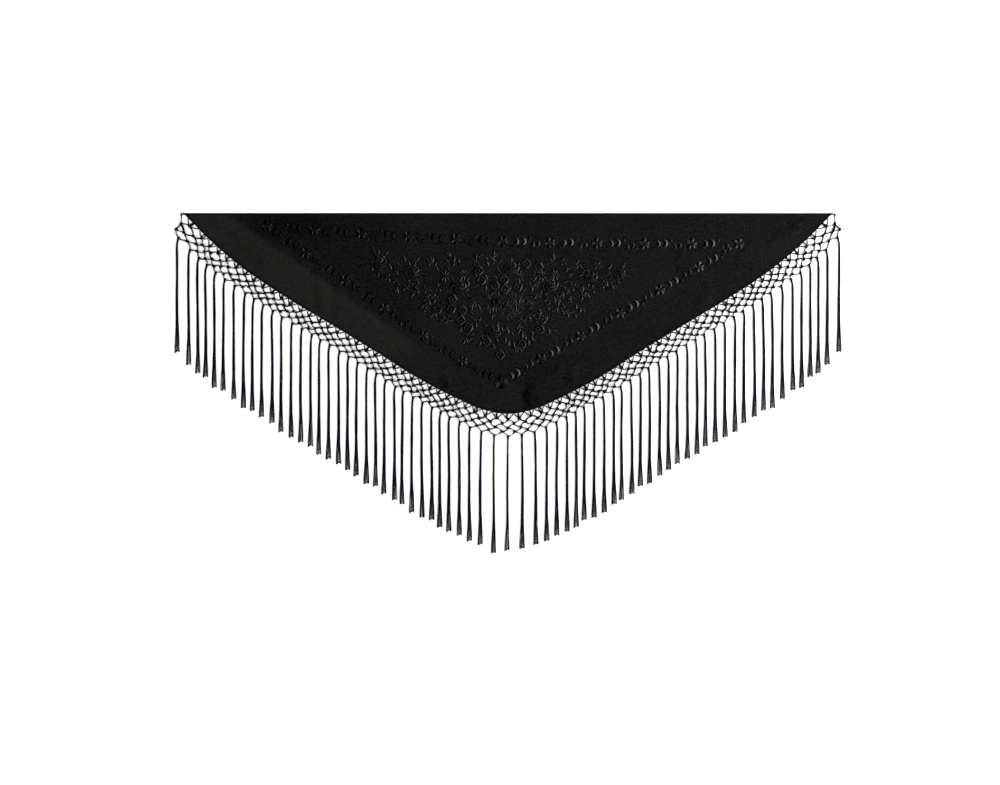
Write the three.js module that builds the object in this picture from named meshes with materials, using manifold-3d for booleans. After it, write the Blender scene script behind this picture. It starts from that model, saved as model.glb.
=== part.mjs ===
// Flamenco shawl laid out flat: a three-cornered cloth with rolled hems, a knotted net along its two
// lower sides and a long fringe of tassels under the net.
// Millimetres, +Z up. +X runs along the straight upper edge and the point of the cloth is towards -Y.

import * as THREE from "three";
import { mergeVertices } from "three/addons/utils/BufferGeometryUtils.js";
import Module from "manifold-3d";

const wasm = await Module();
wasm.setup();

// The cloth
const CLOTH_WIDTH = 1500; // along the upper edge, from tip to tip
const CLOTH_THICKNESS = 1.2;
const CLOTH_ROWS = 8; // strips of the wall from the upper edge to the lower one
const CLOTH_TIP = 4; // the length of the shortest section, at each tip
const LOWER_EDGE = [
  // x from the middle, and how deep the cloth is there
  { x: 0, depth: 464 },
  { x: 60, depth: 453 },
  { x: 120, depth: 427 },
  { x: 210, depth: 380 },
  { x: 300, depth: 323 },
  { x: 400, depth: 262 },
  { x: 500, depth: 202 },
  { x: 600, depth: 136 },
  { x: 680, depth: 70 },
  { x: 750, depth: 0 },
];

// The soft ridges of the cloth. Each runs from one point to another, and width is half of what it covers.
const FOLDS = [
  { name: "left diagonal", from: [-640, -18], to: [-285, -262], height: 5.0, width: 62 },
  { name: "left upright", from: [-444, -120], to: [-408, -262], height: 3.2, width: 30 },
  { name: "right upright", from: [398, -70], to: [452, -240], height: 3.6, width: 34 },
  { name: "middle sweep", from: [40, -250], to: [150, -398], height: 2.4, width: 44 },
  { name: "dent", from: [46, -404], to: [57, -468], height: 4.2, width: 15 },
  { name: "left pleat", from: [-152, -346], to: [-138, -424], height: 3.0, width: 18 },
  { name: "right pleat", from: [150, -344], to: [142, -422], height: 2.6, width: 16 },
  { name: "upper ripple", from: [-30, -100], to: [225, -112], height: 1.6, width: 26 },
  { name: "left tip", from: [-690, -14], to: [-598, -70], height: 1.8, width: 20 },
  { name: "right tip", from: [690, -14], to: [600, -72], height: 1.8, width: 20 },
];
const FOLD_FADE = 26; // how far from an edge a ridge has its full height
const NARROW_FOLD = 40; // the wall has sections of its own at ridges narrower than this
const CLOSEST_SECTIONS = 3;

// The rolled hems
const HEM_WIDTH = 5;
const HEM_HEIGHT = 2.4;
const HEM_ROUNDING = 1.1;

// The net
const TASSELS = 69;
const PITCHES = TASSELS + 1; // spaces along the lower edge, with one before the first tassel
const MIDDLE = PITCHES / 2;
const NET_DEPTHS = [
  // so many pitches from a tip, the distance from the hem to the heads of the tassels
  { pitches: 0, depth: 47 },
  { pitches: 5, depth: 47 },
  { pitches: 9, depth: 42.5 },
  { pitches: 28, depth: 43 },
  { pitches: 35, depth: 52 },
];
const KNOT_SHIFT = { most: 0.8, whole: 2.2, untilPitch: 22 }; // in pitches, towards the middle
const NET_THICKNESS = 2;
const NET_ROWS = { top: 0.1, first: 0.22, second: 0.425, third: 0.62, fourth: 0.81, heads: 1 };
const NET_UNEVENNESS = { along: 0.07, across: 0.018 }; // in pitches and in net depths
const THREAD_WIDTH = 2.1;
const KNOT_WIDTH = 4.4;
const KNOT_LENGTH = 2.8; // below the middle of a knot of the fourth row
const MESH_CORNER = 2.2; // how much of a mesh's corner the knot there fills

// The fringe, in runs that are each given by their first and last tassel, from the left tip
const FRINGE_RUNS = [
  [1, 7],
  [8, 14],
  [15, 21],
  [22, 27],
  [28, 33],
  [34, 36],
  [37, 42],
  [43, 48],
  [49, 55],
  [56, 62],
  [63, 69],
];
const HEAD_SHOULDER = { beside: 4.1, below: 1.2 }; // from the middle of the head's knot
const HEAD_FOOT = { beside: 3.4, below: 8 };
const HEAD_THICKNESS = 3;
const TASSEL_LENGTH = 264;
const TASSEL_UNEVENNESS = 5;
const TASSEL_START = 2.5; // below the middle of the knot, inside the head
const LONGEST_TASSEL = { index: 34, extra: 10 }; // the one left of the middle
const TASSEL_DROP = 14; // from there on a tassel hangs straight
const TASSEL_SWING = 5.5; // how far it is thrown outwards before that
const TASSEL_SPREADS = 0.76; // the share of its length where the strands begin to spread
const TASSEL_CLEARANCE = 0.3; // above the surface that the shawl lies on
const STRANDS = [
  // a tassel's two locks side by side, where their ends are and how much shorter each is
  { beside: -1.75, spread: -4.2, shorter: 0 },
  { beside: 1.75, spread: 4.4, shorter: 5 },
];
const STRAND_RADIUS = 1.7;
const STRAND_SIDES = 3;

const SEAM = 0.3; // between two pieces that are sewn or tied together

const CLOTH_LOOK = { color: 0x1b1b1a, roughness: 0.82, metalness: 0 };
const HEM_LOOK = { color: 0x121212, roughness: 0.78, metalness: 0 };
const YARN_LOOK = { color: 0x11121c, roughness: 0.55, metalness: 0 };

// Even spread of numbers from -1 to 1 with no pattern, the same on both halves of the shawl
function uneven(index, salt) {
  const mirrored = Math.min(index, PITCHES - index);
  const wave = Math.sin(mirrored * 127.1 + salt * 311.7) * 43758.5453;
  return 2 * (wave - Math.floor(wave)) - 1;
}

function smoothStep(value) {
  const clamped = Math.min(Math.max(value, 0), 1);
  return clamped * clamped * (3 - 2 * clamped);
}

// The depth of the cloth at x: a smooth curve through the rows of LOWER_EDGE
function clothDepth(x) {
  const rows = LOWER_EDGE;
  const across = Math.min(Math.abs(x), CLOTH_WIDTH / 2);
  const slope = (i) => {
    if (i === 0) return 0;
    const before = rows[i - 1];
    const after = rows[Math.min(i + 1, rows.length - 1)];
    return (after.depth - before.depth) / (after.x - before.x);
  };
  let i = 0;
  while (i < rows.length - 2 && rows[i + 1].x < across) i += 1;
  const step = rows[i + 1].x - rows[i].x;
  const t = (across - rows[i].x) / step;
  const through = (1 + 2 * t) * (1 - t) ** 2 * rows[i].depth + t * t * (3 - 2 * t) * rows[i + 1].depth;
  return through + step * (t * (1 - t) ** 2 * slope(i) + t * t * (t - 1) * slope(i + 1));
}

class LowerEdge extends THREE.Curve {
  getPoint(t, target = new THREE.Vector2()) {
    const x = (t - 0.5) * CLOTH_WIDTH;
    return target.set(x, -clothDepth(x));
  }
}

// The lower edge as straight chords of one pitch, and for each corner the way outwards
const lowerEdge = new LowerEdge();
lowerEdge.arcLengthDivisions = 3000;
const corners = lowerEdge.getSpacedPoints(PITCHES);
const outwards = corners.map((corner, i) => {
  const chordNormal = (k) => {
    const chord = corners[k + 1].clone().sub(corners[k]).normalize();
    return new THREE.Vector2(chord.y, -chord.x);
  };
  const before = chordNormal(Math.max(i - 1, 0));
  const after = chordNormal(Math.min(i, PITCHES - 1));
  return before.clone().add(after).divideScalar(1 + before.dot(after));
});

// A point so many pitches along the lower edge and so far outside it
function besideEdge(pitches, distance) {
  const k = Math.min(Math.max(Math.floor(pitches), 0), PITCHES - 1);
  const along = corners[k].clone().lerp(corners[k + 1], pitches - k);
  const out = outwards[k].clone().lerp(outwards[k + 1], pitches - k);
  return along.addScaledVector(out, distance);
}

// Where the lower edge, moved out by distance, passes x
function edgeHeight(x, distance) {
  let k = 0;
  while (k < PITCHES - 1 && besideEdge(k + 1, distance).x < x) k += 1;
  const from = besideEdge(k, distance);
  const to = besideEdge(k + 1, distance);
  return from.y + ((to.y - from.y) * (x - from.x)) / (to.x - from.x);
}

// A point moved along the lower edge and outwards from it, by millimetres
function moved(point, pitches, along, out) {
  const k = Math.min(Math.max(Math.floor(pitches), 0), PITCHES - 1);
  const chord = corners[k + 1].clone().sub(corners[k]).normalize();
  const normal = new THREE.Vector2(chord.y, -chord.x);
  return point.clone().addScaledVector(chord, along).addScaledVector(normal, out);
}

// How far the cloth stands off the surface it lies on
function foldHeight(x, y) {
  const fromEdge = Math.min(-y, y + clothDepth(x));
  const raised = FOLDS.map(({ from, to, height, width }) => {
    const run = [to[0] - from[0], to[1] - from[1]];
    const length = Math.hypot(...run);
    const along = ((x - from[0]) * run[0] + (y - from[1]) * run[1]) / length ** 2;
    const aside = ((x - from[0]) * run[1] - (y - from[1]) * run[0]) / length / width;
    if (along <= 0 || along >= 1 || Math.abs(aside) >= 1) return 0;
    return height * (1 - aside * aside) ** 2 * smoothStep(1.3 * Math.sin(Math.PI * along));
  });
  return smoothStep(fromEdge / FOLD_FADE) * raised.reduce((sum, each) => sum + each, 0);
}

// A closed body through rings of equal numbers of points, each ring counter-clockwise seen from the next
function loft(rings) {
  const size = rings[0].length;
  const positions = rings.flatMap((ring) => ring.flatMap((point) => point.toArray()));
  const triangles = [];
  for (let i = 0; i < rings.length - 1; i += 1) {
    for (let j = 0; j < size; j += 1) {
      const a = i * size + j;
      const b = i * size + ((j + 1) % size);
      triangles.push(a, b, a + size, b, b + size, a + size);
    }
  }
  const cap = (start, facingBack) => {
    const add = (p, q, r) => {
      const [second, third] = facingBack ? [r, q] : [q, r];
      triangles.push(start + p, start + second, start + third);
    };
    let low = 0;
    let high = size - 1;
    while (high - low > 1) {
      add(low, low + 1, high);
      low += 1;
      if (high - low > 1) {
        add(low, high - 1, high);
        high -= 1;
      }
    }
  };
  cap(0, true);
  cap((rings.length - 1) * size, false);
  const geometry = new THREE.BufferGeometry();
  geometry.setAttribute("position", new THREE.Float32BufferAttribute(positions, 3));
  geometry.setIndex(triangles);
  return geometry;
}

// A flat outline with holes, from the surface it lies on up to a thickness
function plate(outline, holes, thickness) {
  const shape = new THREE.Shape(THREE.ShapeUtils.isClockWise(outline) ? [...outline].reverse() : outline);
  shape.holes = holes.map((hole) => new THREE.Path(hole));
  return new THREE.ExtrudeGeometry(shape, { depth: thickness, bevelEnabled: false });
}

function toSolid(geometry) {
  const bare = geometry.clone();
  bare.deleteAttribute("normal");
  bare.deleteAttribute("uv");
  const merged = mergeVertices(bare, 1e-4);
  const vertProperties = new Float32Array(merged.attributes.position.array);
  const triVerts = new Uint32Array(merged.index.array);
  return new wasm.Manifold(new wasm.Mesh({ numProp: 3, vertProperties, triVerts }));
}

function toGeometry(solid) {
  const mesh = solid.getMesh();
  const geometry = new THREE.BufferGeometry();
  geometry.setAttribute("position", new THREE.BufferAttribute(mesh.vertProperties, 3));
  geometry.setIndex(new THREE.BufferAttribute(mesh.triVerts, 1));
  return geometry;
}

// The cloth as a wall through upright sections, closer together where narrow ridges run
function clothPanel() {
  const top = -(HEM_WIDTH + SEAM);
  let tip = -CLOTH_WIDTH / 2;
  while (top - edgeHeight(tip, top) < CLOTH_TIP) tip += 0.5;
  const atCorners = corners.map((corner, i) => besideEdge(i, top).x);
  const atFolds = FOLDS.filter(({ width }) => width < NARROW_FOLD).flatMap(({ from, to, width }) => {
    const middle = (from[0] + to[0]) / 2;
    return [middle - width / 2, middle, middle + width / 2];
  });
  const places = [...atCorners, ...atFolds].filter((x) => Math.abs(x) < -tip - CLOSEST_SECTIONS);
  places.sort((a, b) => a - b);
  const sections = places.filter((x, i) => i === 0 || x - places[i - 1] > CLOSEST_SECTIONS);
  const rings = [tip, ...sections, -tip].map((x) => {
    const bottom = edgeHeight(x, top);
    const under = [];
    for (let row = 0; row <= CLOTH_ROWS; row += 1) {
      const y = bottom + ((top - bottom) * row) / CLOTH_ROWS;
      under.push(new THREE.Vector3(x, y, foldHeight(x, y)));
    }
    const over = under.map((p) => new THREE.Vector3(p.x, p.y, p.z + CLOTH_THICKNESS));
    return [...under, ...over.reverse()];
  });
  return loft(rings);
}

// The section of a rolled hem: the place across it, from its inner side, and the height
const HEM_SECTION = [
  [0, 0],
  [HEM_WIDTH, 0],
  [HEM_WIDTH, HEM_HEIGHT - HEM_ROUNDING],
  [HEM_WIDTH - HEM_ROUNDING, HEM_HEIGHT],
  [HEM_ROUNDING, HEM_HEIGHT],
  [0, HEM_HEIGHT - HEM_ROUNDING],
];

// The upper hem, whose ends are cut along the lower edge's last chords
function upperHem() {
  const reach = (y) => besideEdge(y / corners[1].y, 0).x;
  const ring = (side) =>
    HEM_SECTION.map(([across, z]) => {
      const y = across - HEM_WIDTH;
      return new THREE.Vector3(-side * reach(y), y, z);
    });
  return loft([ring(-1), ring(1)]);
}

// The hem of one lower side, which starts under the upper hem and ends at the middle
function lowerHem(side) {
  const ring = (placeAlong) =>
    HEM_SECTION.map(([across, z]) => {
      const out = across - HEM_WIDTH;
      const p = besideEdge(placeAlong(out), out);
      return new THREE.Vector3(-side * p.x, p.y, z);
    });
  const underUpperHem = (out) => {
    const from = besideEdge(0, out).y;
    return (-HEM_WIDTH - SEAM - from) / (besideEdge(1, out).y - from);
  };
  const beforeMiddle = MIDDLE - SEAM / 2 / corners[MIDDLE].distanceTo(corners[MIDDLE - 1]);
  const rings = [ring(underUpperHem)];
  for (let k = 1; k < MIDDLE; k += 1) rings.push(ring(() => k));
  rings.push(ring(() => beforeMiddle));
  return loft(side < 0 ? rings.reverse() : rings);
}

function netDepth(pitches) {
  const after = Math.max(NET_DEPTHS.findIndex((row) => row.pitches >= pitches), 1);
  const [from, to] = [NET_DEPTHS[after - 1], NET_DEPTHS[after]];
  const share = smoothStep((pitches - from.pitches) / (to.pitches - from.pitches));
  return from.depth + share * (to.depth - from.depth);
}

// Where a column of knots is along the edge: full pitches apart, but crowded a little near the middle
function column(index) {
  if (index > MIDDLE) return PITCHES - column(PITCHES - index);
  const { most, whole, untilPitch } = KNOT_SHIFT;
  const beforeMiddle = smoothStep((index - untilPitch) / (MIDDLE - untilPitch));
  return index + most * smoothStep(index / whole) * (1 - beforeMiddle);
}

// The middle of a knot of the net. Tassels have whole numbers, and the right half mirrors the left.
function knot(index, row) {
  if (index > MIDDLE) {
    const twin = knot(PITCHES - index, row);
    return new THREE.Vector2(-twin.x, twin.y);
  }
  const salt = Object.keys(NET_ROWS).indexOf(row);
  const pitches = column(index) + NET_UNEVENNESS.along * uneven(index, salt);
  const share = NET_ROWS[row] + NET_UNEVENNESS.across * uneven(index, salt + 10);
  const place = besideEdge(pitches, SEAM + share * netDepth(pitches));
  return index === MIDDLE ? place.setX(0) : place;
}

// The corners of a mesh's gap: those of its knots, moved in by half a thread
function insideThreads(knots) {
  const count = knots.length;
  const sides = knots.map((from, i) => {
    const way = knots[(i + 1) % count].clone().sub(from).normalize();
    const inward = new THREE.Vector2(way.y, -way.x);
    return { through: from.clone().addScaledVector(inward, THREAD_WIDTH / 2), way };
  });
  return sides.map((side, i) => {
    const last = sides[(i + count - 1) % count];
    const between = side.through.clone().sub(last.through);
    const along = between.cross(side.way) / last.way.cross(side.way);
    return last.through.clone().addScaledVector(last.way, along);
  });
}

// The outline of a mesh's gap, blunt at the corners beside it, where knots are
function gap(knots, bluntCorners) {
  const inner = insideThreads(knots);
  return inner.flatMap((corner, i) => {
    if (!bluntCorners.includes(i)) return [corner];
    const towards = (other) => corner.clone().addScaledVector(other.clone().sub(corner).normalize(), MESH_CORNER);
    return [towards(inner[(i + inner.length - 1) % inner.length]), towards(inner[(i + 1) % inner.length])];
  });
}

// The knots round each mesh: above, towards the right tip, below, towards the left tip
const meshUnderHem = (s) => [knot(s, "top"), knot(s + 0.5, "first"), knot(s, "second"), knot(s - 0.5, "first")];
const meshUnderFirst = (s) => [knot(s, "first"), knot(s + 0.5, "second"), knot(s, "third"), knot(s - 0.5, "second")];
const meshUnderSecond = (s) => [knot(s, "second"), knot(s + 0.5, "third"), knot(s, "fourth"), knot(s - 0.5, "third")];
const meshUnderThird = (s) => [knot(s, "third"), knot(s + 0.5, "fourth"), knot(s, "heads"), knot(s - 0.5, "fourth")];

// The net of one side as a plate with its gaps cut through. Its lower outline ends in the fourth row of knots.
function net(side) {
  const sideCorners = [1, 3];
  const holes = [];
  const besideTip = besideEdge(0.2, SEAM + NET_ROWS.first * netDepth(0));
  const [above, right, below] = meshUnderHem(0.5);
  holes.push(gap([above, right, below, besideTip], [1]));
  holes.push(gap(meshUnderSecond(0.5).slice(0, 3), [1]));
  for (let s = 1; s < MIDDLE; s += 1) {
    holes.push(gap(meshUnderHem(s + 0.5), sideCorners));
    holes.push(gap(meshUnderFirst(s), sideCorners));
    holes.push(gap(meshUnderSecond(s + 0.5), sideCorners));
  }

  const atMiddle = (point) => new THREE.Vector2(-SEAM / 2, point.y);
  const outline = [];
  for (let s = 0; s < MIDDLE; s += 1) outline.push(besideEdge(s, SEAM));
  const middleGap = gap(meshUnderFirst(MIDDLE), sideCorners);
  const [gapTop, , , gapBottom, gapLeftLower, gapLeftUpper] = middleGap;
  outline.push(atMiddle(besideEdge(MIDDLE, SEAM)), atMiddle(gapTop), gapLeftUpper, gapLeftLower);
  outline.push(atMiddle(gapBottom), atMiddle(insideThreads(meshUnderThird(MIDDLE))[0]));
  for (let s = MIDDLE - 0.5; s > 0; s -= 1) {
    for (const along of [KNOT_WIDTH / 2, -KNOT_WIDTH / 2]) {
      outline.push(moved(knot(s, "fourth"), column(s), along, -SEAM / 2));
    }
    if (s > 1) outline.push(insideThreads(meshUnderThird(s - 0.5))[0]);
  }
  outline.push(moved(knot(0.5, "second"), column(0.5), -KNOT_WIDTH / 2, 0));

  const placed = (points) => points.map((p) => new THREE.Vector2(-side * p.x, p.y));
  return plate(placed(outline), holes.map(placed), NET_THICKNESS);
}

// The net's last zigzag, from the fourth row of knots to the heads of some tassels
function zigzag(first, last) {
  const start = first - 0.5;
  const end = last + 0.5;
  const half = KNOT_WIDTH / 2;
  const fromStart = first === 1 ? -half : SEAM / 2;
  const fromEnd = last === TASSELS ? half : -SEAM / 2;
  const fourth = (s, along, out) => moved(knot(s, "fourth"), column(s), along, out);

  const outline = [fourth(start, fromStart, SEAM / 2), fourth(start, half, SEAM / 2)];
  for (let s = first; s <= last; s += 1) {
    outline.push(insideThreads(meshUnderThird(s))[2], fourth(s + 0.5, -half, SEAM / 2));
    if (s < last) outline.push(fourth(s + 0.5, half, SEAM / 2));
  }
  if (last === TASSELS) outline.push(fourth(end, half, SEAM / 2));
  outline.push(fourth(end, last === TASSELS ? 0 : fromEnd, KNOT_LENGTH));
  for (let s = last; s >= first; s -= 1) {
    const head = knot(s, "heads");
    const at = (beside, below) => new THREE.Vector2(head.x + beside, head.y - below);
    outline.push(at(HEAD_SHOULDER.beside, HEAD_SHOULDER.below), at(HEAD_FOOT.beside, HEAD_FOOT.below));
    outline.push(at(-HEAD_FOOT.beside, HEAD_FOOT.below), at(-HEAD_SHOULDER.beside, HEAD_SHOULDER.below));
    if (s > first) outline.push(fourth(s - 0.5, 0, KNOT_LENGTH));
  }
  outline.push(fourth(start, first === 1 ? 0 : fromStart, KNOT_LENGTH));
  return plate(outline, [], HEAD_THICKNESS);
}

// One strand of a tassel, from inside its head to its free end
function strand(index, { beside, spread, shorter }) {
  const head = knot(index, "heads");
  const swing = TASSEL_SWING * outwards[Math.round(column(index))].x;
  const extra = index === LONGEST_TASSEL.index ? LONGEST_TASSEL.extra : 0;
  const length = TASSEL_LENGTH + extra + TASSEL_UNEVENNESS * uneven(index, 21);
  const sway = 1.6 * uneven(index, 22) * Math.sign(index - MIDDLE);
  const stations = [
    [beside, TASSEL_START],
    [swing + beside, TASSEL_DROP],
    [swing + sway + beside, length * TASSEL_SPREADS],
    [swing + sway + spread, length - shorter],
  ];
  const rings = stations.map(([aside, below]) => {
    const ring = [];
    for (let k = 0; k < STRAND_SIDES; k += 1) {
      const angle = (2 * Math.PI * k) / STRAND_SIDES - Math.PI / 2;
      const x = head.x + aside + STRAND_RADIUS * Math.cos(angle);
      const z = TASSEL_CLEARANCE + STRAND_RADIUS * (1 + Math.sin(angle));
      ring.push(new THREE.Vector3(x, head.y - below, z));
    }
    return ring;
  });
  return loft(rings);
}

function fringe(first, last) {
  let solid = toSolid(zigzag(first, last));
  for (let index = first; index <= last; index += 1) {
    for (const each of STRANDS) solid = solid.add(toSolid(strand(index, each)));
  }
  return toGeometry(solid);
}

const shawl = new THREE.Group();

function addPiece(name, geometry, look) {
  const piece = new THREE.Mesh(geometry, new THREE.MeshStandardMaterial(look));
  piece.name = name;
  shawl.add(piece);
}

addPiece("cloth_panel", clothPanel(), CLOTH_LOOK);
addPiece("hem_upper", upperHem(), HEM_LOOK);
addPiece("hem_left", lowerHem(-1), HEM_LOOK);
addPiece("hem_right", lowerHem(1), HEM_LOOK);
addPiece("net_left", net(-1), YARN_LOOK);
addPiece("net_right", net(1), YARN_LOOK);
FRINGE_RUNS.forEach(([first, last], i) => {
  addPiece(`fringe_${String(i + 1).padStart(2, "0")}`, fringe(first, last), YARN_LOOK);
});

// The origin is the middle of the base
const extent = new THREE.Box3().setFromObject(shawl);
shawl.position.y = -(extent.min.y + extent.max.y) / 2;

export default shawl;
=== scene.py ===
"""Flamenco shawl laid out flat: crepe cloth, rolled hems, raised embroidery, knotted net and tassels.

The plan of the shawl is worked out in millimetres on the flat cloth: x from its middle towards the right tip,
y from its upper edge (0) down to its point (negative). Meshes are in metres, in the frame of the CAD model.
"""

import logging
import math
import random
from collections.abc import Callable, Sequence
from dataclasses import dataclass, field
from enum import Enum
from typing import ClassVar

import bmesh
import bpy
import numpy as np
from mathutils import Matrix, Vector


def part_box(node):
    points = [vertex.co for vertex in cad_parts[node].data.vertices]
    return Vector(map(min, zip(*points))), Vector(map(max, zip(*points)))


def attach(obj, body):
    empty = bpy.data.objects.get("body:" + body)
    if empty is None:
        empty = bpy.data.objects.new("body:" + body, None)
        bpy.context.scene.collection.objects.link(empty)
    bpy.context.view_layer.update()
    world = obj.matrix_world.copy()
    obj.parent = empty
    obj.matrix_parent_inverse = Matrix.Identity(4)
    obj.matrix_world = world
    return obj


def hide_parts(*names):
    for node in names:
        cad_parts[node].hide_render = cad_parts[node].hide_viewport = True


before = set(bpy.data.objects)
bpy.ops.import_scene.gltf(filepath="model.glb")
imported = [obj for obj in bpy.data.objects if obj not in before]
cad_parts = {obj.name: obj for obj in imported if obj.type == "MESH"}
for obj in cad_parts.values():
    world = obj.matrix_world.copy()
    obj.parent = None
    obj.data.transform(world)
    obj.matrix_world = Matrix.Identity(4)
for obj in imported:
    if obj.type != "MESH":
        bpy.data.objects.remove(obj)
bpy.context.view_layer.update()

LOG = logging.getLogger("shawl")
MM = 0.001
Pair = tuple[float, float]  # an x and a y, or a place along something and a distance there
BODY = "root"
PAINTED_SHADING = "sheen"  # the attribute of painted light and shade on the cloth: where it is higher, the cloth's colour is lighter
FRAYED_WITH_PAINTED_GLINTS = "frayed_with_painted_glints"  # the attribute that is 1 on yarns whose ends fray and get painted glints
WAVE_PERIOD = 0.314  # of its unit: a wave texture with this scale repeats once in each unit
GOLDEN_TURN = 0.381966  # of a full turn, which spaces things round a middle evenly


class Half(Enum):
    """The two halves of the shawl, with the way that x runs in each."""

    LEFT = -1
    RIGHT = 1


class Row(Enum):
    """The net's rows of knots, as shares of the way from the hem to the tassels' heads."""

    FIRST = 0.22
    SECOND = 0.425
    THIRD = 0.62
    FOURTH = 0.81
    HEADS = 1.0


def linear(hex_colour: str, alpha: float = 1.0) -> tuple[float, float, float, float]:
    """Turn an sRGB colour into Blender's linear one.

    Args:
        hex_colour: six hex digits, red first.
        alpha: the colour's alpha.

    Returns:
        The linear red, green and blue with the alpha.
    """
    parts = [int(hex_colour[i : i + 2], 16) / 255 for i in (0, 2, 4)]
    red, green, blue = (c / 12.92 if c <= 0.04045 else ((c + 0.055) / 1.055) ** 2.4 for c in parts)
    return red, green, blue, alpha


def smooth_step(value: np.ndarray | float) -> np.ndarray:
    """Ease a value from 0 to 1.

    Args:
        value: the value, which is clamped first.

    Returns:
        The eased value.
    """
    clamped = np.clip(value, 0.0, 1.0)
    return clamped * clamped * (3 - 2 * clamped)


def add_node(
    tree: bpy.types.NodeTree,
    kind: str,
    values: dict[str, object] | None = None,
    links: dict[str, bpy.types.NodeSocket] | None = None,
    **settings: object,
) -> bpy.types.Node:
    """Add a node to a tree.

    Args:
        tree: the material's or world's node tree.
        kind: the node's type.
        values: what its inputs are set to, by name or place.
        links: the outputs that feed its inputs, by name or place.
        **settings: the node's own settings.

    Returns:
        The node.
    """
    node = tree.nodes.new(kind)
    for name, value in settings.items():
        setattr(node, name, value)
    for name, value in (values or {}).items():
        node.inputs[name].default_value = value
    for name, output in (links or {}).items():
        tree.links.new(output, node.inputs[name])
    return node


def new_material(name: str) -> tuple[bpy.types.Material, bpy.types.NodeTree]:
    """Start a material with an empty node tree.

    Args:
        name: the material's name.

    Returns:
        The material and its tree.
    """
    material = bpy.data.materials.new(name)
    material.use_nodes = True
    material.node_tree.nodes.clear()
    return material, material.node_tree


def ramp(
    tree: bpy.types.NodeTree, factor: bpy.types.NodeSocket, stops: Sequence[tuple[float, str]]
) -> bpy.types.NodeSocket:
    """Add a colour ramp.

    Args:
        tree: the node tree.
        factor: what the ramp is read with.
        stops: places on the ramp and their hex colours.

    Returns:
        The ramp's colour.
    """
    node = add_node(tree, "ShaderNodeValToRGB", links={"Fac": factor})
    elements = node.color_ramp.elements
    while len(elements) < len(stops):
        elements.new(0.5)
    for element, (place, colour) in zip(elements, stops):
        element.position = place
        element.color = linear(colour)
    return node.outputs["Color"]


@dataclass(frozen=True)
class Crepe:
    """Black polyester crepe, woven from hard-twisted yarns, which gives a dull, faintly pebbled black.

    The real weave is 0.3 mm, too fine for the render, so it is drawn at 1.6 mm with grain of 4 mm over it.
    """

    name: str = "black_woven_crepe"
    dark: str = "020202"
    light: str = "1b1b1a"
    weave_mm: float = 1.6
    grain_mm: float = 4.0
    shade_mm: float = 160.0
    grain_share: float = 0.84
    mottle: float = 0.42
    bump_mm: float = 0.25
    roughness: float = 0.7
    specular: float = 0.05

    def material(self) -> bpy.types.Material:
        """Build the woven cloth's material, whose colour is lighter where the piece's attribute of painted light
        and shade is high.

        Returns:
            The material.
        """
        material, tree = new_material(self.name)
        place = add_node(tree, "ShaderNodeTexCoord").outputs["Object"]
        # Painted light and shade of the cloth's folds, kept in an attribute of the piece
        sheen = add_node(tree, "ShaderNodeAttribute", attribute_name=PAINTED_SHADING)
        shade = add_node(
            tree, "ShaderNodeTexNoise", {"Scale": 1 / (self.shade_mm * MM), "Detail": 3.0}, {"Vector": place}
        )
        grain = add_node(
            tree, "ShaderNodeTexNoise", {"Scale": 1 / (self.grain_mm * MM), "Detail": 4.0}, {"Vector": place}
        )
        both = add_node(
            tree,
            "ShaderNodeMix",
            {"Factor": self.grain_share},
            {"A": shade.outputs["Fac"], "B": grain.outputs["Fac"]},
        )
        mottle = add_node(
            tree,
            "ShaderNodeMapRange",
            {"From Min": 0.3, "From Max": 0.7, "To Min": -self.mottle, "To Max": self.mottle},
            {"Value": both.outputs[0]},
        )
        painted_shading_and_mottle = add_node(
            tree, "ShaderNodeMath", links={0: sheen.outputs["Fac"], 1: mottle.outputs[0]}, operation="ADD"
        )
        # The painted light and shade, with the random mottle, pick the colour from dark to light
        colour = ramp(tree, painted_shading_and_mottle.outputs[0], [(0.0, self.dark), (1.0, self.light)])
        # One wave is one thread with the gap beside it
        waves = [
            add_node(
                tree,
                "ShaderNodeTexWave",
                {
                    "Scale": WAVE_PERIOD / (self.weave_mm * MM),
                    "Distortion": 1.2,
                    "Detail": 1.0,
                    "Detail Scale": 1.5,
                },
                {"Vector": place},
                bands_direction=way,
            ).outputs["Fac"]
            for way in ("X", "Y")
        ]
        weave = add_node(tree, "ShaderNodeMath", links={0: waves[0], 1: waves[1]}, operation="MULTIPLY")
        height = add_node(
            tree, "ShaderNodeMath", links={0: weave.outputs[0], 1: grain.outputs["Fac"]}, operation="ADD"
        )
        bump = add_node(
            tree,
            "ShaderNodeBump",
            {"Strength": 0.5, "Distance": self.bump_mm * MM},
            {"Height": height.outputs[0]},
        )
        shader = add_node(
            tree,
            "ShaderNodeBsdfPrincipled",
            {"Roughness": self.roughness, "Specular IOR Level": self.specular},
            {"Base Color": colour, "Normal": bump.outputs[0]},
        )
        add_node(tree, "ShaderNodeOutputMaterial", links={"Surface": shader.outputs[0]})
        return material


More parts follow.
